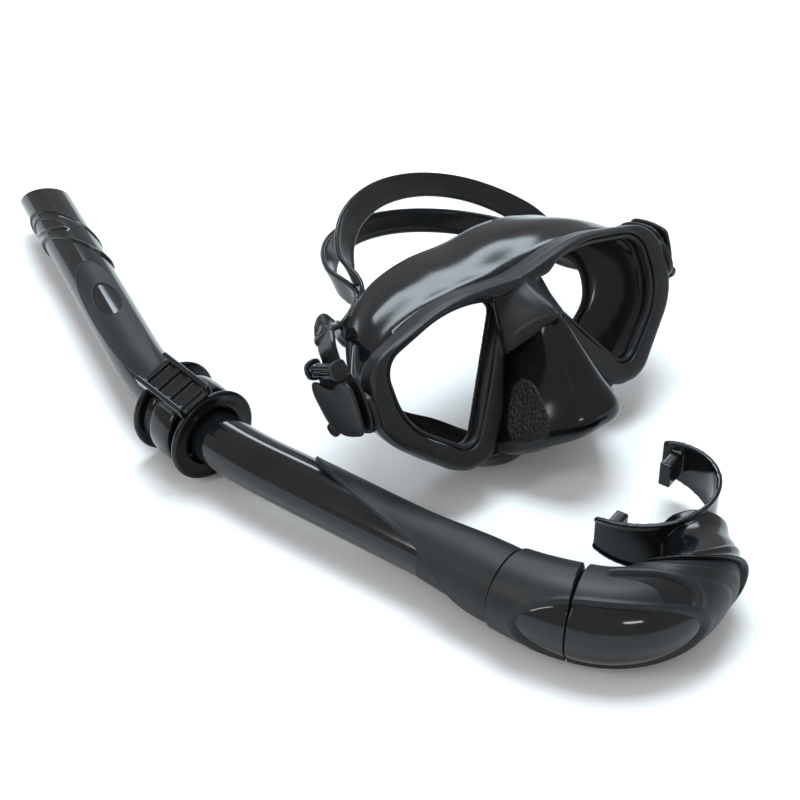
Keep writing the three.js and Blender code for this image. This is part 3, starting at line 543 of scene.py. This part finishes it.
# The underside closes in shrinking, sinking copies of the lowest line.
closing = nose_grid[-1]
closing_centre = np.array([0, 4.0, 0])
for shrink, drop in ((0.93, 1.0), (0.8, 1.6), (0.5, 1.9), (0.05, 2.0)):
    smaller = (closing - closing_centre) * np.array([shrink, shrink, 1]) + closing_centre
    nose_grid.append(smaller - np.array([0, 0, drop]))
nose = shape("nose_pocket", [sheet_of(nose_grid)], MASK, SILICONE, 60)
thicken(nose, 2.0)
skirt = shape("face_skirt", [skirt_shell()], MASK, SILICONE, 60)
piece(skirt, "mask", "silicone_black", "skirt")
piece(nose, "mask", "silicone_black", "skirt")

# ---- grip pads on the nose ------------------------------------------------------------------
PAD_MIDDLE_Z, PAD_HALF_Z = -39.0, 13.0
PAD_MIDDLE_SHARE, PAD_HALF_SHARE = 0.195, 0.095     # of the way round the nose
PAD_HEIGHT, PAD_SUNK = 0.75, 0.35
nose_lines = np.array(nose_grid[:NOSE_STEPS])


def grip_pad(side):
    """A stippled pad with rounded corners, laid on one side of the nose."""
    rows = []
    for v in np.linspace(-1, 1, 49):
        row = []
        z = PAD_MIDDLE_Z + PAD_HALF_Z * v
        line = nose_lines[int(np.argmin(np.abs(nose_lines[:, 0, 2] - z)))]
        for u in np.linspace(-1, 1, 49):
            share = PAD_MIDDLE_SHARE + PAD_HALF_SHARE * u * (1 - 0.2 * v)
            index = share * (NOSE_POINTS - 1)
            low = int(index)
            ahead = line[low + 1] - line[low]
            outward = np.array([-ahead[1], ahead[0], 0]) / np.linalg.norm(ahead[:2])
            if outward[0] < 0:
                outward = -outward
            inside = 1 - (abs(u) ** 2.6 + abs(v) ** 2.6)
            at = line[low] + ahead * (index - low) + outward * (PAD_HEIGHT * ease(inside * 3.5) - PAD_SUNK)
            row.append((at[0] * side, at[1], z))
        rows.append(row)
    return sheet_of(rows)


for side in (-1, 1):
    name = "right" if side > 0 else "left"
    pad = shape(f"{name}_grip_pad", [grip_pad(side)], MASK, STIPPLE, 70)
    piece(pad, "mask", "silicone_black", "skirt")


# ---- buckles ------------------------------------------------------------------------------
def flat_plate(line, x0, x1, round_edge=0.5, dome=0.0):
    """A plate across x from a closed (y, z) line, with rounded edges."""
    small = grown(line, -round_edge)
    near = grown(line, -round_edge * 0.3)
    levels = [
        (small, x0), (line, x0 + round_edge), (line, x1 - round_edge), (near, x1 - round_edge * 0.3),
        (small, x1),
    ]
    if dome:
        levels.append((grown(line, -3), x1 + dome))
    return loft([[(x, y, z) for y, z in ring] for ring, x in levels])


def rod_y(radius, y0, y1, x, z, ridges=0, depth=0.0, sides=96):
    """A rod along y with chamfered ends, and ridges along it if asked."""
    rings = []
    turn = np.linspace(0, 2 * math.pi, sides, endpoint=False)
    for y, grow_by in ((y0, -0.5), (y0 + 0.5, 0), (y1 - 0.5, 0), (y1, -0.5)):
        wave = depth * np.clip(np.sin(turn * ridges) * 2.2, -1, 1) if ridges else 0 * turn
        r = radius + grow_by + wave
        rings.append(np.column_stack([x + r * np.cos(turn), np.full(sides, y), z + r * np.sin(turn)]))
    return loft(rings)


def box_part(x, y, z):
    """A box from its two limits along each direction."""
    line = [(y[0], z[0]), (y[1], z[0]), (y[1], z[1]), (y[0], z[1])]
    return loft([[(x0, a, b) for a, b in line] for x0 in x])


BASE_LINE = spline([
    (1, -18.6), (14, -18.6), (23, -12.6), (25, 2), (23, 5), (11.5, 2.5), (1, 5), (-2, 0), (-2, -14.6),
], 90, True)
COVER_LINE = spline([
    (0.5, -18.6), (5, -19.6), (14, -19.2), (21, -15), (24.2, -7), (25.2, -1), (23.6, 2.6), (19, 2.4),
    (14.5, 0.6), (10.5, 0.2), (6, 2.4), (1.5, 3.2), (-1.6, 1), (-2.4, -6), (-1.4, -14),
], 140, True)
THUMB_LINE = spline([(17.5, -17.5), (21, -14.6), (22.8, -16), (21.6, -19), (18.4, -20)], 40, True)
LUG_LINE = spline([(-1.5, -6), (-1.5, -18), (8, -21), (17, -18), (18, -6), (10, -3)], 80, True)
EAR_LINE = spline([(84.6, 3.5), (84.6, 11), (88.2, 11.6), (91, 10), (91, 5), (88, 3.4)], 40, True)
EARS = [(3.3, 5.3), (20.7, 22.7)]            # from and to along y
KNUCKLES = [(6.5, 9.5), (15, 18)]
ROLLER = (88.2, 7.5)                         # x and z of its axis


def buckle_parts():
    """The plate on the lug, with two ears for the roller and two cheeks for the lever pin."""
    parts = [flat_plate(BASE_LINE, 83.7, 85.2, 0.4)]
    for ear in EARS:
        parts.append(loft([[(x, y, z) for x, z in EAR_LINE] for y in ear]))
        parts.append(box_part((84.6, 87.7), ear, (-18, -12.2)))
    return parts


def roller_parts():
    """The ribbed barrel that the strap turns round, a plain end and the axle."""
    return [
        rod_y(2.85, 5.9, 17.6, *ROLLER, ridges=13, depth=0.28), rod_y(2.9, 17.8, 20.1, *ROLLER),
        rod_y(1.5, 3.6, 22.4, *ROLLER),
    ]


def lever_parts():
    """The domed cover, the thumb rest at its corner and the two knuckles under it."""
    knuckles = [box_part((85.7, 88.6), y, (-17, -13)) for y in KNUCKLES]
    return [flat_plate(COVER_LINE, 87.8, 89.6, 0.6, 0.25), flat_plate(THUMB_LINE, 87.6, 90.2, 0.5)] + knuckles


for side in (-1, 1):
    name = "right" if side > 0 else "left"
    on_buckle = RIGHT_BUCKLE if side > 0 else LEFT_BUCKLE
    on_mask = MASK if side > 0 else MASK @ Matrix.Diagonal((-1, 1, 1, 1))
    lug = shape(f"{name}_lug_arm", [flat_plate(LUG_LINE, 80.6, 83.4, 0.6)], on_mask, SATIN)
    piece(lug, "mask", "satin_black", f"{name}_lug")
    base = shape(f"{name}_buckle_body", buckle_parts(), on_buckle, SATIN, 35)
    fuse(base, 0.3, 2)
    piece(base, f"{name}_buckle", "satin_black", f"{name}_buckle_base")
    roller = shape(f"{name}_strap_roller", roller_parts(), on_buckle, GLOSS, 30)
    piece(roller, f"{name}_roller", "gloss_black", f"{name}_roller")
    cover = shape(f"{name}_lever_cover", lever_parts(), on_buckle, SATIN)
    fuse(cover, 0.3, 3)
    piece(cover, f"{name}_lever", "satin_black", f"{name}_lever")

# ---- strap --------------------------------------------------------------------------------
STRAP_THICK = 2.2
BAND_WIDTH = 11.5
# Both bands leave the buckle together over the skirt's corner, part behind it, arch round the back
# of the head and meet again at the other buckle.
LEAVE = [(-79.5, 18.5, 18.4), (-74, 24, 19), (-66, 34.5, 17.5), (-56, 43, 9)]
ARRIVE = (82, 41.7, -12.7)
ARCH_STEPS = 7


def arch(start, end, back, up):
    """Half an ellipse from one point to another, standing back and up from their line."""
    points = []
    for angle in np.linspace(0, math.pi, ARCH_STEPS + 1):
        way = (1 - math.cos(angle)) / 2
        lift = math.sin(angle)
        points.append(tuple(a + (b - a) * way + c * lift for a, b, c in zip(start, end, (0, back, up))))
    return points


UPPER_BAND = LEAVE + arch((-36, 50, 14), (83.5, 66, -6), 33, 42) + [ARRIVE]
LOWER_BAND = LEAVE + arch((-38, 52, 14), (83.5, 66, -10), 54, 28) + [ARRIVE]
ALONG_ROLLER = np.array([0, 1, -0.3])
UPRIGHT = np.array([0, 0.35, 1])
TWIST, TWIST_AT_ONCE, TWIST_LATE = 0.1, 1e-6, 10     # shares of a band's length


def strap_band(points, count, twist=TWIST):
    """A ribbed band along the points, which turns from the roller to upright over its first share, twist."""
    line = spline(points, count)
    along = np.gradient(line, axis=0)
    along /= np.linalg.norm(along, axis=1)[:, None]
    w, h = BAND_WIDTH / 2, STRAP_THICK / 2
    section = [
        (w, -0.4 * h), (w, 0.4 * h), (w - 0.5, h), (w - 1.6, h), (w - 2.0, h * 0.72), (-w + 2.0, h * 0.72),
        (-w + 1.6, h), (-w + 0.5, h), (-w, 0.4 * h), (-w, -0.4 * h), (-w + 0.5, -h), (w - 0.5, -h),
    ]
    rings = []
    for i, (p, t) in enumerate(zip(line, along)):
        across = ALONG_ROLLER + (UPRIGHT - ALONG_ROLLER) * min(1, i / (count - 1) / twist)
        up = across - t * across.dot(t)
        up /= np.linalg.norm(up)
        out = np.cross(t, up)
        rings.append([p + up * a + out * b for a, b in section])
    return loft(rings)


bands = [strap_band(UPPER_BAND, 220), strap_band(LOWER_BAND, 240)]
strap = shape("head_strap", bands, MASK, STRAP_SILICONE)
fuse(strap, 0.45, 3)
piece(strap, "mask", "silicone_black", "strap")

# From the roller of each buckle to where the strap leaves.
ROOT = [(84.9, 13.2, 1.5), (84.2, 13, 5.7), (83.6, 13.6, 10), (82.6, 15.0, 14.2), (80.9, 16.8, 16.8)]
ROOT_RIGHT = [(84.2, 13.0, 1.5), (83.8, 13, 5.7), (83.4, 13.6, 10), (82.9, 15.5, 14.2)]
for side in (-1, 1):
    name = "right" if side > 0 else "left"
    if side < 0:
        path = ROOT + [(-x, y, z) for x, y, z in UPPER_BAND[:2]]
        root = shape("left_strap_root", [strap_band(path, 70, twist=TWIST_LATE)], LEFT_BUCKLE, STRAP_SILICONE)
    else:
        into_mask = MASK.inverted() @ RIGHT_BUCKLE
        path = [tuple(into_mask @ (Vector(p) * MM) / MM) for p in ROOT_RIGHT] + UPPER_BAND[:-3:-1]
        root = shape("right_strap_root", [strap_band(path, 70, twist=TWIST_AT_ONCE)], MASK, STRAP_SILICONE)
    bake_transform(root)
    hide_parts(f"{name}_strap_tail")

# ---- snorkel tube --------------------------------------------------------------------------
# Straight lengths and arcs laid end to end from the open top to the mouthpiece, as (mm, degrees).
# The keeper is where the second one ends, at the origin, heading along +x.
TUBE_RUNS = [(142, 0), (61, 17), (43, 12), (111.7, 0), (34, 20), (62, 106), (15, 0)]
TUBE_LENGTH = sum(length for length, _ in TUBE_RUNS)
KEEPER = TUBE_RUNS[0][0] + TUBE_RUNS[1][0]
GRIP_START, SEAM_1, SEAM_2, SEAM_3 = 261, 359, 387, 439


def walk(distance):
    """Place and heading of the centreline at each distance from the open top."""
    left = np.asarray(distance, float)
    x, y = np.zeros_like(left), np.zeros_like(left)
    heading = np.full_like(left, -math.radians(TUBE_RUNS[1][1]))
    for length, turn in TUBE_RUNS:
        used = np.clip(left, 0, length)
        swing = math.radians(turn) * used / length
        chord = used * np.sinc(swing / 2 / math.pi)
        x = x + chord * np.cos(heading + swing / 2)
        y = y + chord * np.sin(heading + swing / 2)
        heading = heading + swing
        left = left - used
    return x, y, heading


KEEPER_X, KEEPER_Y, _ = walk(KEEPER)
BORE = 9.3
RADIUS_TOP, WIDER_AT_KEEPER, WIDER_AT_GRIP = 11.0, 0.3, 0.5


def tube_radius(s):
    """Outside radius of the bare barrel, which widens a little all the way down."""
    upper = RADIUS_TOP + WIDER_AT_KEEPER * s / KEEPER
    below = np.clip((s - KEEPER) / (GRIP_START - KEEPER), 0, 1)
    lower = RADIUS_TOP + WIDER_AT_KEEPER + WIDER_AT_GRIP * below
    return np.where(s < KEEPER, upper, lower)


def on_tube(s, turn, across, upright):
    """Points beside the centreline: s and turn in mm and radians, with two half-axes."""
    s = np.clip(s, 0, TUBE_LENGTH)
    x, y, heading = walk(s)
    x, y = x - KEEPER_X, y - KEEPER_Y
    ax, ay = np.cos(heading), np.sin(heading)
    c, u = np.cos(turn) * across, np.sin(turn) * upright
    return np.stack([x - ay * c, y + ax * c, u + 0 * x], axis=-1)


END_CHAMFER = 0.35
BORE_STEPS = 30


def tube_piece(from_s, to_s, outer, bore, steps, sides=128, shift=None):
    """A hollow piece of tube. outer(s, turn) gives (across, upright); shift moves stations."""
    turn = np.linspace(0, 2 * math.pi, sides, endpoint=False)
    grid_s, grid_t = np.meshgrid(np.linspace(from_s, to_s, steps), turn, indexing="ij")
    if shift is not None:
        grid_s = shift(grid_s, grid_t)
    across, upright = outer(grid_s, grid_t)
    outside = on_tube(grid_s, grid_t, across, upright)
    inner_s = grid_s[:: max(1, steps // BORE_STEPS)]
    if not np.array_equal(inner_s[-1], grid_s[-1]):
        inner_s = np.vstack([inner_s, grid_s[-1:]])
    inner_r = bore + 0 * inner_s
    inside = on_tube(inner_s, np.broadcast_to(turn, inner_s.shape), inner_r, inner_r)
    lead_in = on_tube(grid_s[:1], grid_t[:1], across[:1] - END_CHAMFER, upright[:1] - END_CHAMFER)
    lead_out = on_tube(grid_s[-1:], grid_t[-1:], across[-1:] - END_CHAMFER, upright[-1:] - END_CHAMFER)
    return loft(np.concatenate([lead_in, outside, lead_out, inside[::-1]]), wrap=True)


def barrel_outer(s, t):
    r = tube_radius(s)
    return r + 0 * t, r + 0 * t


CUT_HALF_DEPTH, CUT_FACING, CUT_FADE = 8.0, 55, 40     # mm, degrees, mm


def top_cut(s, t):
    """The slanted open top: moves the stations near the end down the tube on one side."""
    slope = 1.0 + CUT_HALF_DEPTH * (1 + np.cos(t - math.radians(CUT_FACING)))
    return np.maximum(s, 0) + slope * np.clip(1 - s / CUT_FADE, 0, 1)


barrel_part = tube_piece(0, SEAM_1 - 16, barrel_outer, BORE, 220, shift=top_cut)
barrel = shape("barrel_tube", [barrel_part], SNORKEL, GLOSS, 50)
piece(barrel, "snorkel", "gloss_black", "barrel")


DEGREES_A_RADIAN = 57.3
SKIN_BORE = BORE + 0.6         # the bands and grips sit round the barrel, sunk into its wall


def degrees_from(t, middle):
    """Signed turn from a middle direction, in degrees."""
    return (np.degrees(t) - middle + 180) % 360 - 180


TIP_FROM, TIP_TO = 18, 84                               # mm along the tube
COLLAR_TOP, COLLAR_FOOT, COLLAR_SWAY = 41, 62, 18       # mm: middle of each edge, and its swing
TIP_FACING = 130                                        # degrees round the tube


def tip_height(s, t):
    """Relief of the swirled collar near the top: raised edges round a sunken field."""
    d = degrees_from(t, TIP_FACING)
    lean = np.radians(d - 50)
    upper = COLLAR_TOP - COLLAR_SWAY * np.cos(lean)
    lower = COLLAR_FOOT - COLLAR_SWAY * np.cos(lean - 0.35)
    inside = ramp_up(s, upper - 0.5, upper + 0.5) * (1 - ramp_up(s, lower - 0.5, lower + 0.5))
    rim = bead(s - upper, 1.3, 1.0) + bead(s - lower, -1.3, 1.0)
    field = np.hypot((s - (upper + lower) / 2) / 5.5, (d - 14) / 42.0)
    swirl = bead(field, 1, 0.12)
    return inside, 0.35 + 0.8 * np.clip(rim + 0.8 * swirl, 0, 1)


def tip_outer(s, t):
    inside, height = tip_height(s, t)
    r = tube_radius(s) - 0.5 + inside * (0.5 + height)
    return r, r


tip = shape("tip_collar", [tube_piece(TIP_FROM, TIP_TO, tip_outer, SKIN_BORE, 260, 160)], SNORKEL, GLOSS, 60)
piece(tip, "snorkel", "soft_black", "tip_band")


TEARDROP_FROM, TEARDROP_TO = 83, 182                    # mm along the tube
TEARDROP_FACING, TEARDROP_HALF = 112, 50                # degrees
WINDOW_AT, WINDOW_FACING, WINDOW_HALF, WINDOW_HALF_TURN = 115, 103, 12.5, 29.0


def upper_grip_outer(s, t):
    """Relief of the teardrop pad, with a round window near its upper end."""
    d = degrees_from(t, TEARDROP_FACING)
    along = np.clip((s - TEARDROP_FROM) / (TEARDROP_TO - TEARDROP_FROM), 0, 1)
    bulge = np.sin(math.pi * along ** 0.62) ** 0.7
    half_width = TEARDROP_HALF * bulge * (1 - 0.25 * along) + 14 * ease(along)
    edge = (half_width - np.abs(d + 3)) / DEGREES_A_RADIAN * 11.3
    inside = ramp_up(edge, -0.35, 0.35)
    window = np.hypot((s - WINDOW_AT) / WINDOW_HALF, degrees_from(t, WINDOW_FACING) / WINDOW_HALF_TURN)
    inside = inside * ramp_up(window, 0.96, 1.02)
    lip = bead(edge, 0.8, 0.7) * 0.2
    r = tube_radius(s) - 0.4 + inside * (1.15 + lip)
    return r, r


upper_part = tube_piece(TEARDROP_FROM - 3, KEEPER - 22, upper_grip_outer, SKIN_BORE, 300, 200)
upper_grip = shape("upper_grip_skin", [upper_part], SNORKEL, SOFT, 60)
piece(upper_grip, "snorkel", "soft_black", "upper_grip")


TONGUE_FACING, TONGUE_HALF, TONGUE_LENGTH = 40, 98, 60  # degrees, degrees each side, mm
WRAP_HALF, WRAP_FROM, WRAP_LENGTH = 84, 318, 38         # degrees each side, mm, mm
SWELL_FROM, SWELL_TO = 300, 345                         # mm along the tube


def lower_grip_outer(s, t):
    """Relief of the tongue that widens down the tube until it wraps all the way round the foot."""
    d = degrees_from(t, TONGUE_FACING)
    tongue = TONGUE_HALF * np.sqrt(np.clip((s - GRIP_START) / TONGUE_LENGTH, 0, 1))
    reach = tongue + WRAP_HALF * ease((s - WRAP_FROM) / WRAP_LENGTH)
    edge = (reach - np.abs(d)) / DEGREES_A_RADIAN * 12
    inside = ramp_up(edge, -0.4, 0.4)
    swell = ramp_up(s, SWELL_FROM, SEAM_1)
    lip = 0.22 * bead(edge, 1.0, 0.8)
    r = tube_radius(s) - 0.5 + inside * (1.5 + lip) + 2.2 * swell * ramp_up(s, SWELL_FROM, SWELL_TO)
    return r, r + 0.4 * swell


lower_part = tube_piece(GRIP_START - 4, SEAM_1 - 0.3, lower_grip_outer, SKIN_BORE, 260, 200)
lower_grip = shape("lower_grip_skin", [lower_part], SNORKEL, SOFT, 60)
piece(lower_grip, "snorkel", "soft_black", "lower_grip")


# ---- keeper ---------------------------------------------------------------------------------
def turned(profile, sides=128):
    """A closed profile of (radius, x) turned round the tube's axis at the keeper."""
    line = spline(profile, 120, closed=True)
    rings = []
    for a in np.linspace(0, 2 * math.pi, sides, endpoint=False):
        rings.append([(x - KEEPER_SHIFT / MM, r * math.cos(a), r * math.sin(a)) for r, x in line])
    return loft(rings, wrap=True)


SPOOL_PROFILE = [
    (13.0, -14.0), (16.5, -14.2), (19.4, -14.3), (20, -13.4), (19.7, -12.2), (18, -11.7), (15.6, -11.2),
    (14.6, -9), (14.4, 0), (14.6, 9), (15.6, 11.2), (18, 11.7), (19.7, 12.2), (20, 13.4), (19.4, 14.3),
    (16.5, 14.2), (13.0, 14.0), (13.0, 0),
]
spool = shape("keeper_spool_body", [turned(SPOOL_PROFILE)], SNORKEL, SILICONE, 60)
piece(spool, "keeper_spool", "silicone_black", "keeper_spool")

CLIP_ROLL = math.radians(20)
RUNG = 2.5


def block(x, y, z):
    """A box on the keeper, whose x is measured from the keeper's own middle."""
    return box_part([x0 - KEEPER_SHIFT / MM for x0 in x], y, z)


clip_parts = [
    turned([(15.6, -6.4), (17.4, -6.4), (17.4, 6.4), (15.6, 6.4)], 96),
    block((-6.5, 6.5), (-8, 8), (16.4, 21.2)),
    block((-15, 15), (-8.4, 8.4), (20.7, 22.3)),
]
for rail in ((-8.4, -6.2), (6.2, 8.4)):
    clip_parts.append(block((-15, 15), rail, (21, 25.7)))
for rung in (-13, -5.5, 2.5, 10.5):
    clip_parts.append(block((rung, rung + RUNG), (-7, 7), (21.5, 23.9)))
clip = shape("keeper_clip_body", clip_parts, SNORKEL @ Matrix.Rotation(CLIP_ROLL, 4, "X"), GLOSS)
fuse(clip, 0.4, 3)
piece(clip, "keeper_clip", "gloss_black", "keeper_clip")


# ---- foot -----------------------------------------------------------------------------------
FOOT_ACROSS, FOOT_UPRIGHT = 16, 16.4
OVAL_AT, OVAL_FACING, OVAL_HALF, OVAL_HALF_TURN = 397, 178, 27.0, 52.0
RECESS_FACING, RECESS_DEPTH = 130, 2.6
LIP_BACK, LIP_SWAY = 8, 16


def foot_size(s):
    """Half-axes of the foot: it is fullest midway between its first and last seams."""
    swell = np.sin(math.pi * np.clip((s - SEAM_1) / (SEAM_3 - SEAM_1), 0, 1))
    return FOOT_ACROSS + 2 * swell, FOOT_UPRIGHT + 2.4 * swell


def lip_station(t):
    """Where the elbow ends: early on the inside of the bend, late on the outside."""
    return SEAM_3 - LIP_BACK - LIP_SWAY * np.cos(t)


def to_lip(s, t):
    """Moves the elbow's stations so that the last one lies on the lip."""
    share = (s - SEAM_2) / (SEAM_3 - SEAM_2)
    return SEAM_2 + share * (lip_station(t) - SEAM_2)


def from_lip(s, t):
    """Moves the neck's stations so that the first one lies on the lip."""
    share = (s - SEAM_3) / (TUBE_LENGTH - SEAM_3)
    return lip_station(t) + share * (TUBE_LENGTH - lip_station(t))


def notch(s, t, seam):
    """Depth of a V cut that opens towards the inside of the bend."""
    inner = (1 + np.cos(t)) / 2
    width = 0.35 + 2.0 * inner ** 1.5
    return np.clip(1 - np.abs(s - seam) / width, 0, 1) * (0.8 + 3.4 * inner)


def oval(s, t):
    """Distance measure of the glossy oval across the second seam: under 1 is inside."""
    return np.hypot((s - OVAL_AT) / OVAL_HALF, degrees_from(t, OVAL_FACING) / OVAL_HALF_TURN)


def foot_outer(s, t):
    """Half-axes of the plain foot, the depth of its two cuts, and the relief round its oval."""
    a, b = foot_size(s)
    cut = notch(s, t, SEAM_1) + notch(s, t, SEAM_2)
    o = oval(s, t)
    rim = 0.45 * bead(o, 1.07, 0.05)
    inlay = -1.3 * (1 - ramp_up(o, 0.97, 1.03))
    return a, b, cut, rim + inlay


def recess(s, t):
    """The crescent hollow round the tongue on the elbow, and the hook of its outer ridge."""
    d = degrees_from(t, RECESS_FACING)
    hook = np.hypot((s - 401) / 25.0, (d + 2) / 62.0)
    tongue = np.hypot((s - 398) / 15.5, (d + 8) / 36.0)
    before = ramp_up(s, 396, 402) * ramp_up(d, -75, -60)
    o = oval(s, t)
    hollow = (1 - ramp_up(hook, 0.84, 0.92)) * ramp_up(tongue, 1.0, 1.1) * before * ramp_up(o, 1.12, 1.2)
    crest = 0.6 * bead(hook, 0.97, 0.05) * before * ramp_up(o, 1.1, 1.2)
    return hollow, crest


def sleeve_outer(s, t):
    a, b, cut, relief = foot_outer(s, t)
    return a - cut + relief, b - cut + relief


def elbow_outer(s, t):
    a, b, cut, relief = foot_outer(s, t)
    hollow, crest = recess(s, t)
    before_lip = lip_station(t) - s
    collar = 0.7 * bead(before_lip, 5, 1.6) - 0.5 * bead(before_lip, 9, 1.0)
    r = relief - cut - RECESS_DEPTH * hollow + crest + collar
    return a + r, b + r


def inlay_outer(s, t):
    """The glossy oval: crowned inside its hole, and under the foot's skin round it."""
    a, b = foot_size(s)
    o = oval(s, t)
    bulge = 1.2 * np.sqrt(np.clip(1 - o ** 2, 0, 1)) - 1.5
    cut = notch(s, t, SEAM_2) * 0.8
    return a + bulge - cut, b + bulge - cut


FOOT_BORE, INLAY_BORE = 11.5, 12.4

sleeve_part = tube_piece(SEAM_1 + 0.2, SEAM_2 - 0.2, sleeve_outer, FOOT_BORE, 110, 220)
sleeve = shape("foot_sleeve", [sleeve_part], SNORKEL, FOOT, 60)
piece(sleeve, "sleeve", "soft_black", "sleeve")
elbow_part = tube_piece(SEAM_2 + 0.2, SEAM_3, elbow_outer, FOOT_BORE, 220, 260, shift=to_lip)
elbow = shape("foot_elbow", [elbow_part], SNORKEL, FOOT, 60)
piece(elbow, "elbow", "soft_black", "elbow")
low_part = tube_piece(SEAM_1 + 8, SEAM_2 - 0.3, inlay_outer, INLAY_BORE, 70, 200)
inlay_low = shape("sleeve_oval", [low_part], SNORKEL, GLOSS, 60)
piece(inlay_low, "sleeve", "gloss_black", "sleeve_inlay")
high_part = tube_piece(SEAM_2 + 0.3, SEAM_3 - 6, inlay_outer, INLAY_BORE, 110, 200)
inlay_high = shape("elbow_oval", [high_part], SNORKEL, GLOSS, 60)
piece(inlay_high, "elbow", "gloss_black", "elbow_inlay")

# ---- mouthpiece ------------------------------------------------------------------------------
# The mouth plate follows an arc round the wearer's teeth, in the same plane as the tube.
MOUTH_X, MOUTH_Y, MOUTH_R, MOUTH_FROM, MOUTH_TO = 151, 103, 28, -88, 118
TAB_ANGLES, TAB_SIZE, TAB_INSET = (-75, 105), (10, 5, 11), 6


def on_mouth_arc(angle, inset):
    turn, r = math.radians(angle), MOUTH_R - inset
    return np.array([MOUTH_X + r * math.cos(turn), MOUTH_Y + r * math.sin(turn)])


def neck_outer(s, t):
    """The neck of the mouthpiece: a flared lip on the elbow, one fold, then it narrows to the plate."""
    past = s - lip_station(t)
    u = np.clip(past / (TUBE_LENGTH - lip_station(t)), 0, 1)
    lip = 2.6 * bead(past, 1.0, 1.3)
    fold = 0.5 * bead(past, 6.5, 0.9)
    narrow = ease(u * 1.25)
    return FOOT_UPRIGHT - 3.4 * narrow + lip + fold, FOOT_UPRIGHT - 5.4 * narrow + lip + fold


def mouth_plate():
    """The curved plate behind the lips, with a thicker rim along its two long edges."""
    rings = []
    for angle in np.linspace(MOUTH_FROM, MOUTH_TO, 120):
        share = (angle - MOUTH_FROM) / (MOUTH_TO - MOUTH_FROM)
        half = 7 + 5.5 * max(0, math.sin(math.pi * share)) ** 0.6
        section = [(1.5, -half), (1.5, -half + 1.2), (0.85, -half + 2), (0.8, 0), (0.85, half - 2),
                   (1.5, half - 1.2), (1.5, half), (-0.6, half), (-0.9, 0), (-0.6, -half)]
        rings.append([(*on_mouth_arc(angle, -a), b) for a, b in section])
    return loft(rings)


def tab(angle):
    """A bite tab that stands in from the mouth plate."""
    c, s = math.cos(math.radians(angle)), math.sin(math.radians(angle))
    x, y, z = (v / 2 for v in TAB_SIZE)
    at = on_mouth_arc(angle, TAB_INSET)
    flat = [(-x, -y), (x, -y), (x, y), (-x, y)]
    line = [(at[0] + a * c - b * s, at[1] + a * s + b * c) for a, b in flat]
    return loft([[(px, py, level) for px, py in line] for level in (-z, z)])


neck = tube_piece(SEAM_3 + 0.4, TUBE_LENGTH, neck_outer, 7.4, 110, 140, shift=from_lip)
tabs = [tab(angle) for angle in TAB_ANGLES]
mouth = shape("mouthpiece_body", [neck, mouth_plate()] + tabs, SNORKEL, SILICONE)
fuse(mouth, 0.45, 4)
piece(mouth, "elbow", "silicone_black", "mouthpiece")

# ---- carried-over CAD pieces -------------------------------------------------------------------
CARRIED = {"lever_pin": STEEL, "lever_spring": STEEL, "swivel_pin": SATIN}
for side in ("left", "right"):
    for part, material in CARRIED.items():
        node = frame["nodes"][f"{side}_{part}"]
        node.data.materials.clear()
        node.data.materials.append(material)

# ---- floor, light and camera -------------------------------------------------------------------
SPAN = 6.0
floor_corners = [(-SPAN, -SPAN, 0), (SPAN, -SPAN, 0), (SPAN, SPAN, 0), (-SPAN, SPAN, 0)]
floor_mesh = bpy.data.meshes.new("floor")
floor_mesh.from_pydata(floor_corners, [], [(0, 1, 2, 3)])
floor_mesh.materials.append(FLOOR)
floor = bpy.data.objects.new("floor", floor_mesh)
bpy.context.scene.collection.objects.link(floor)

CAMERA_AZIMUTH, CAMERA_ELEVATION, CAMERA_DISTANCE = -41, 37.4, 0.88
AIM_X, AIM_Y = -0.00165, -0.0112        # where the camera looks, from the middle of the set
low_corner, high_corner = (Vector(corner) for corner in cad_box)
middle = (low_corner + high_corner) / 2
target = Vector((middle.x + AIM_X, middle.y + AIM_Y, 0))


def direction(azimuth, elevation):
    """Unit vector from the target: azimuth in degrees round from -Y, elevation above the floor."""
    a, e = math.radians(azimuth), math.radians(elevation)
    return Vector((math.sin(a) * math.cos(e), -math.cos(a) * math.cos(e), math.sin(e)))


def area_light(name, azimuth, elevation, distance, size, power, colour=(1, 1, 1)):
    light = bpy.data.lights.new(name, "AREA")
    light.shape = "RECTANGLE"
    light.size, light.size_y = size
    light.energy = power
    light.color = colour
    obj = bpy.data.objects.new(name, light)
    obj.location = target + direction(azimuth, elevation) * distance
    obj.rotation_euler = (target - obj.location).to_track_quat("-Z", "Y").to_euler()
    bpy.context.scene.collection.objects.link(obj)


COOL = (0.80, 0.93, 1.0)
area_light("overhead", 140, 78, 1.6, (0.9, 0.7), 26, COOL)
area_light("back", 150, 40, 1.8, (1.2, 0.25), 10, COOL)
area_light("left", -100, 35, 1.6, (0.12, 0.9), 5)
area_light("front", -20, 30, 2.0, (0.5, 0.15), 4)
world = bpy.data.worlds.new("studio")
world.use_nodes = True
world.node_tree.nodes["Background"].inputs["Color"].default_value = (1, 1, 1, 1)
world.node_tree.nodes["Background"].inputs["Strength"].default_value = 0.55
bpy.context.scene.world = world
bpy.context.scene.view_settings.view_transform = "Standard"

camera_data = bpy.data.cameras.new("camera")
camera_data.sensor_width = 36
camera_data.lens = 91.8
camera_data.clip_end = 20
camera = bpy.data.objects.new("camera", camera_data)
camera.location = target + direction(CAMERA_AZIMUTH, CAMERA_ELEVATION) * CAMERA_DISTANCE
camera.rotation_euler = (target - camera.location).to_track_quat("-Z", "Y").to_euler()
bpy.context.scene.collection.objects.link(camera)
bpy.context.scene.camera = camera
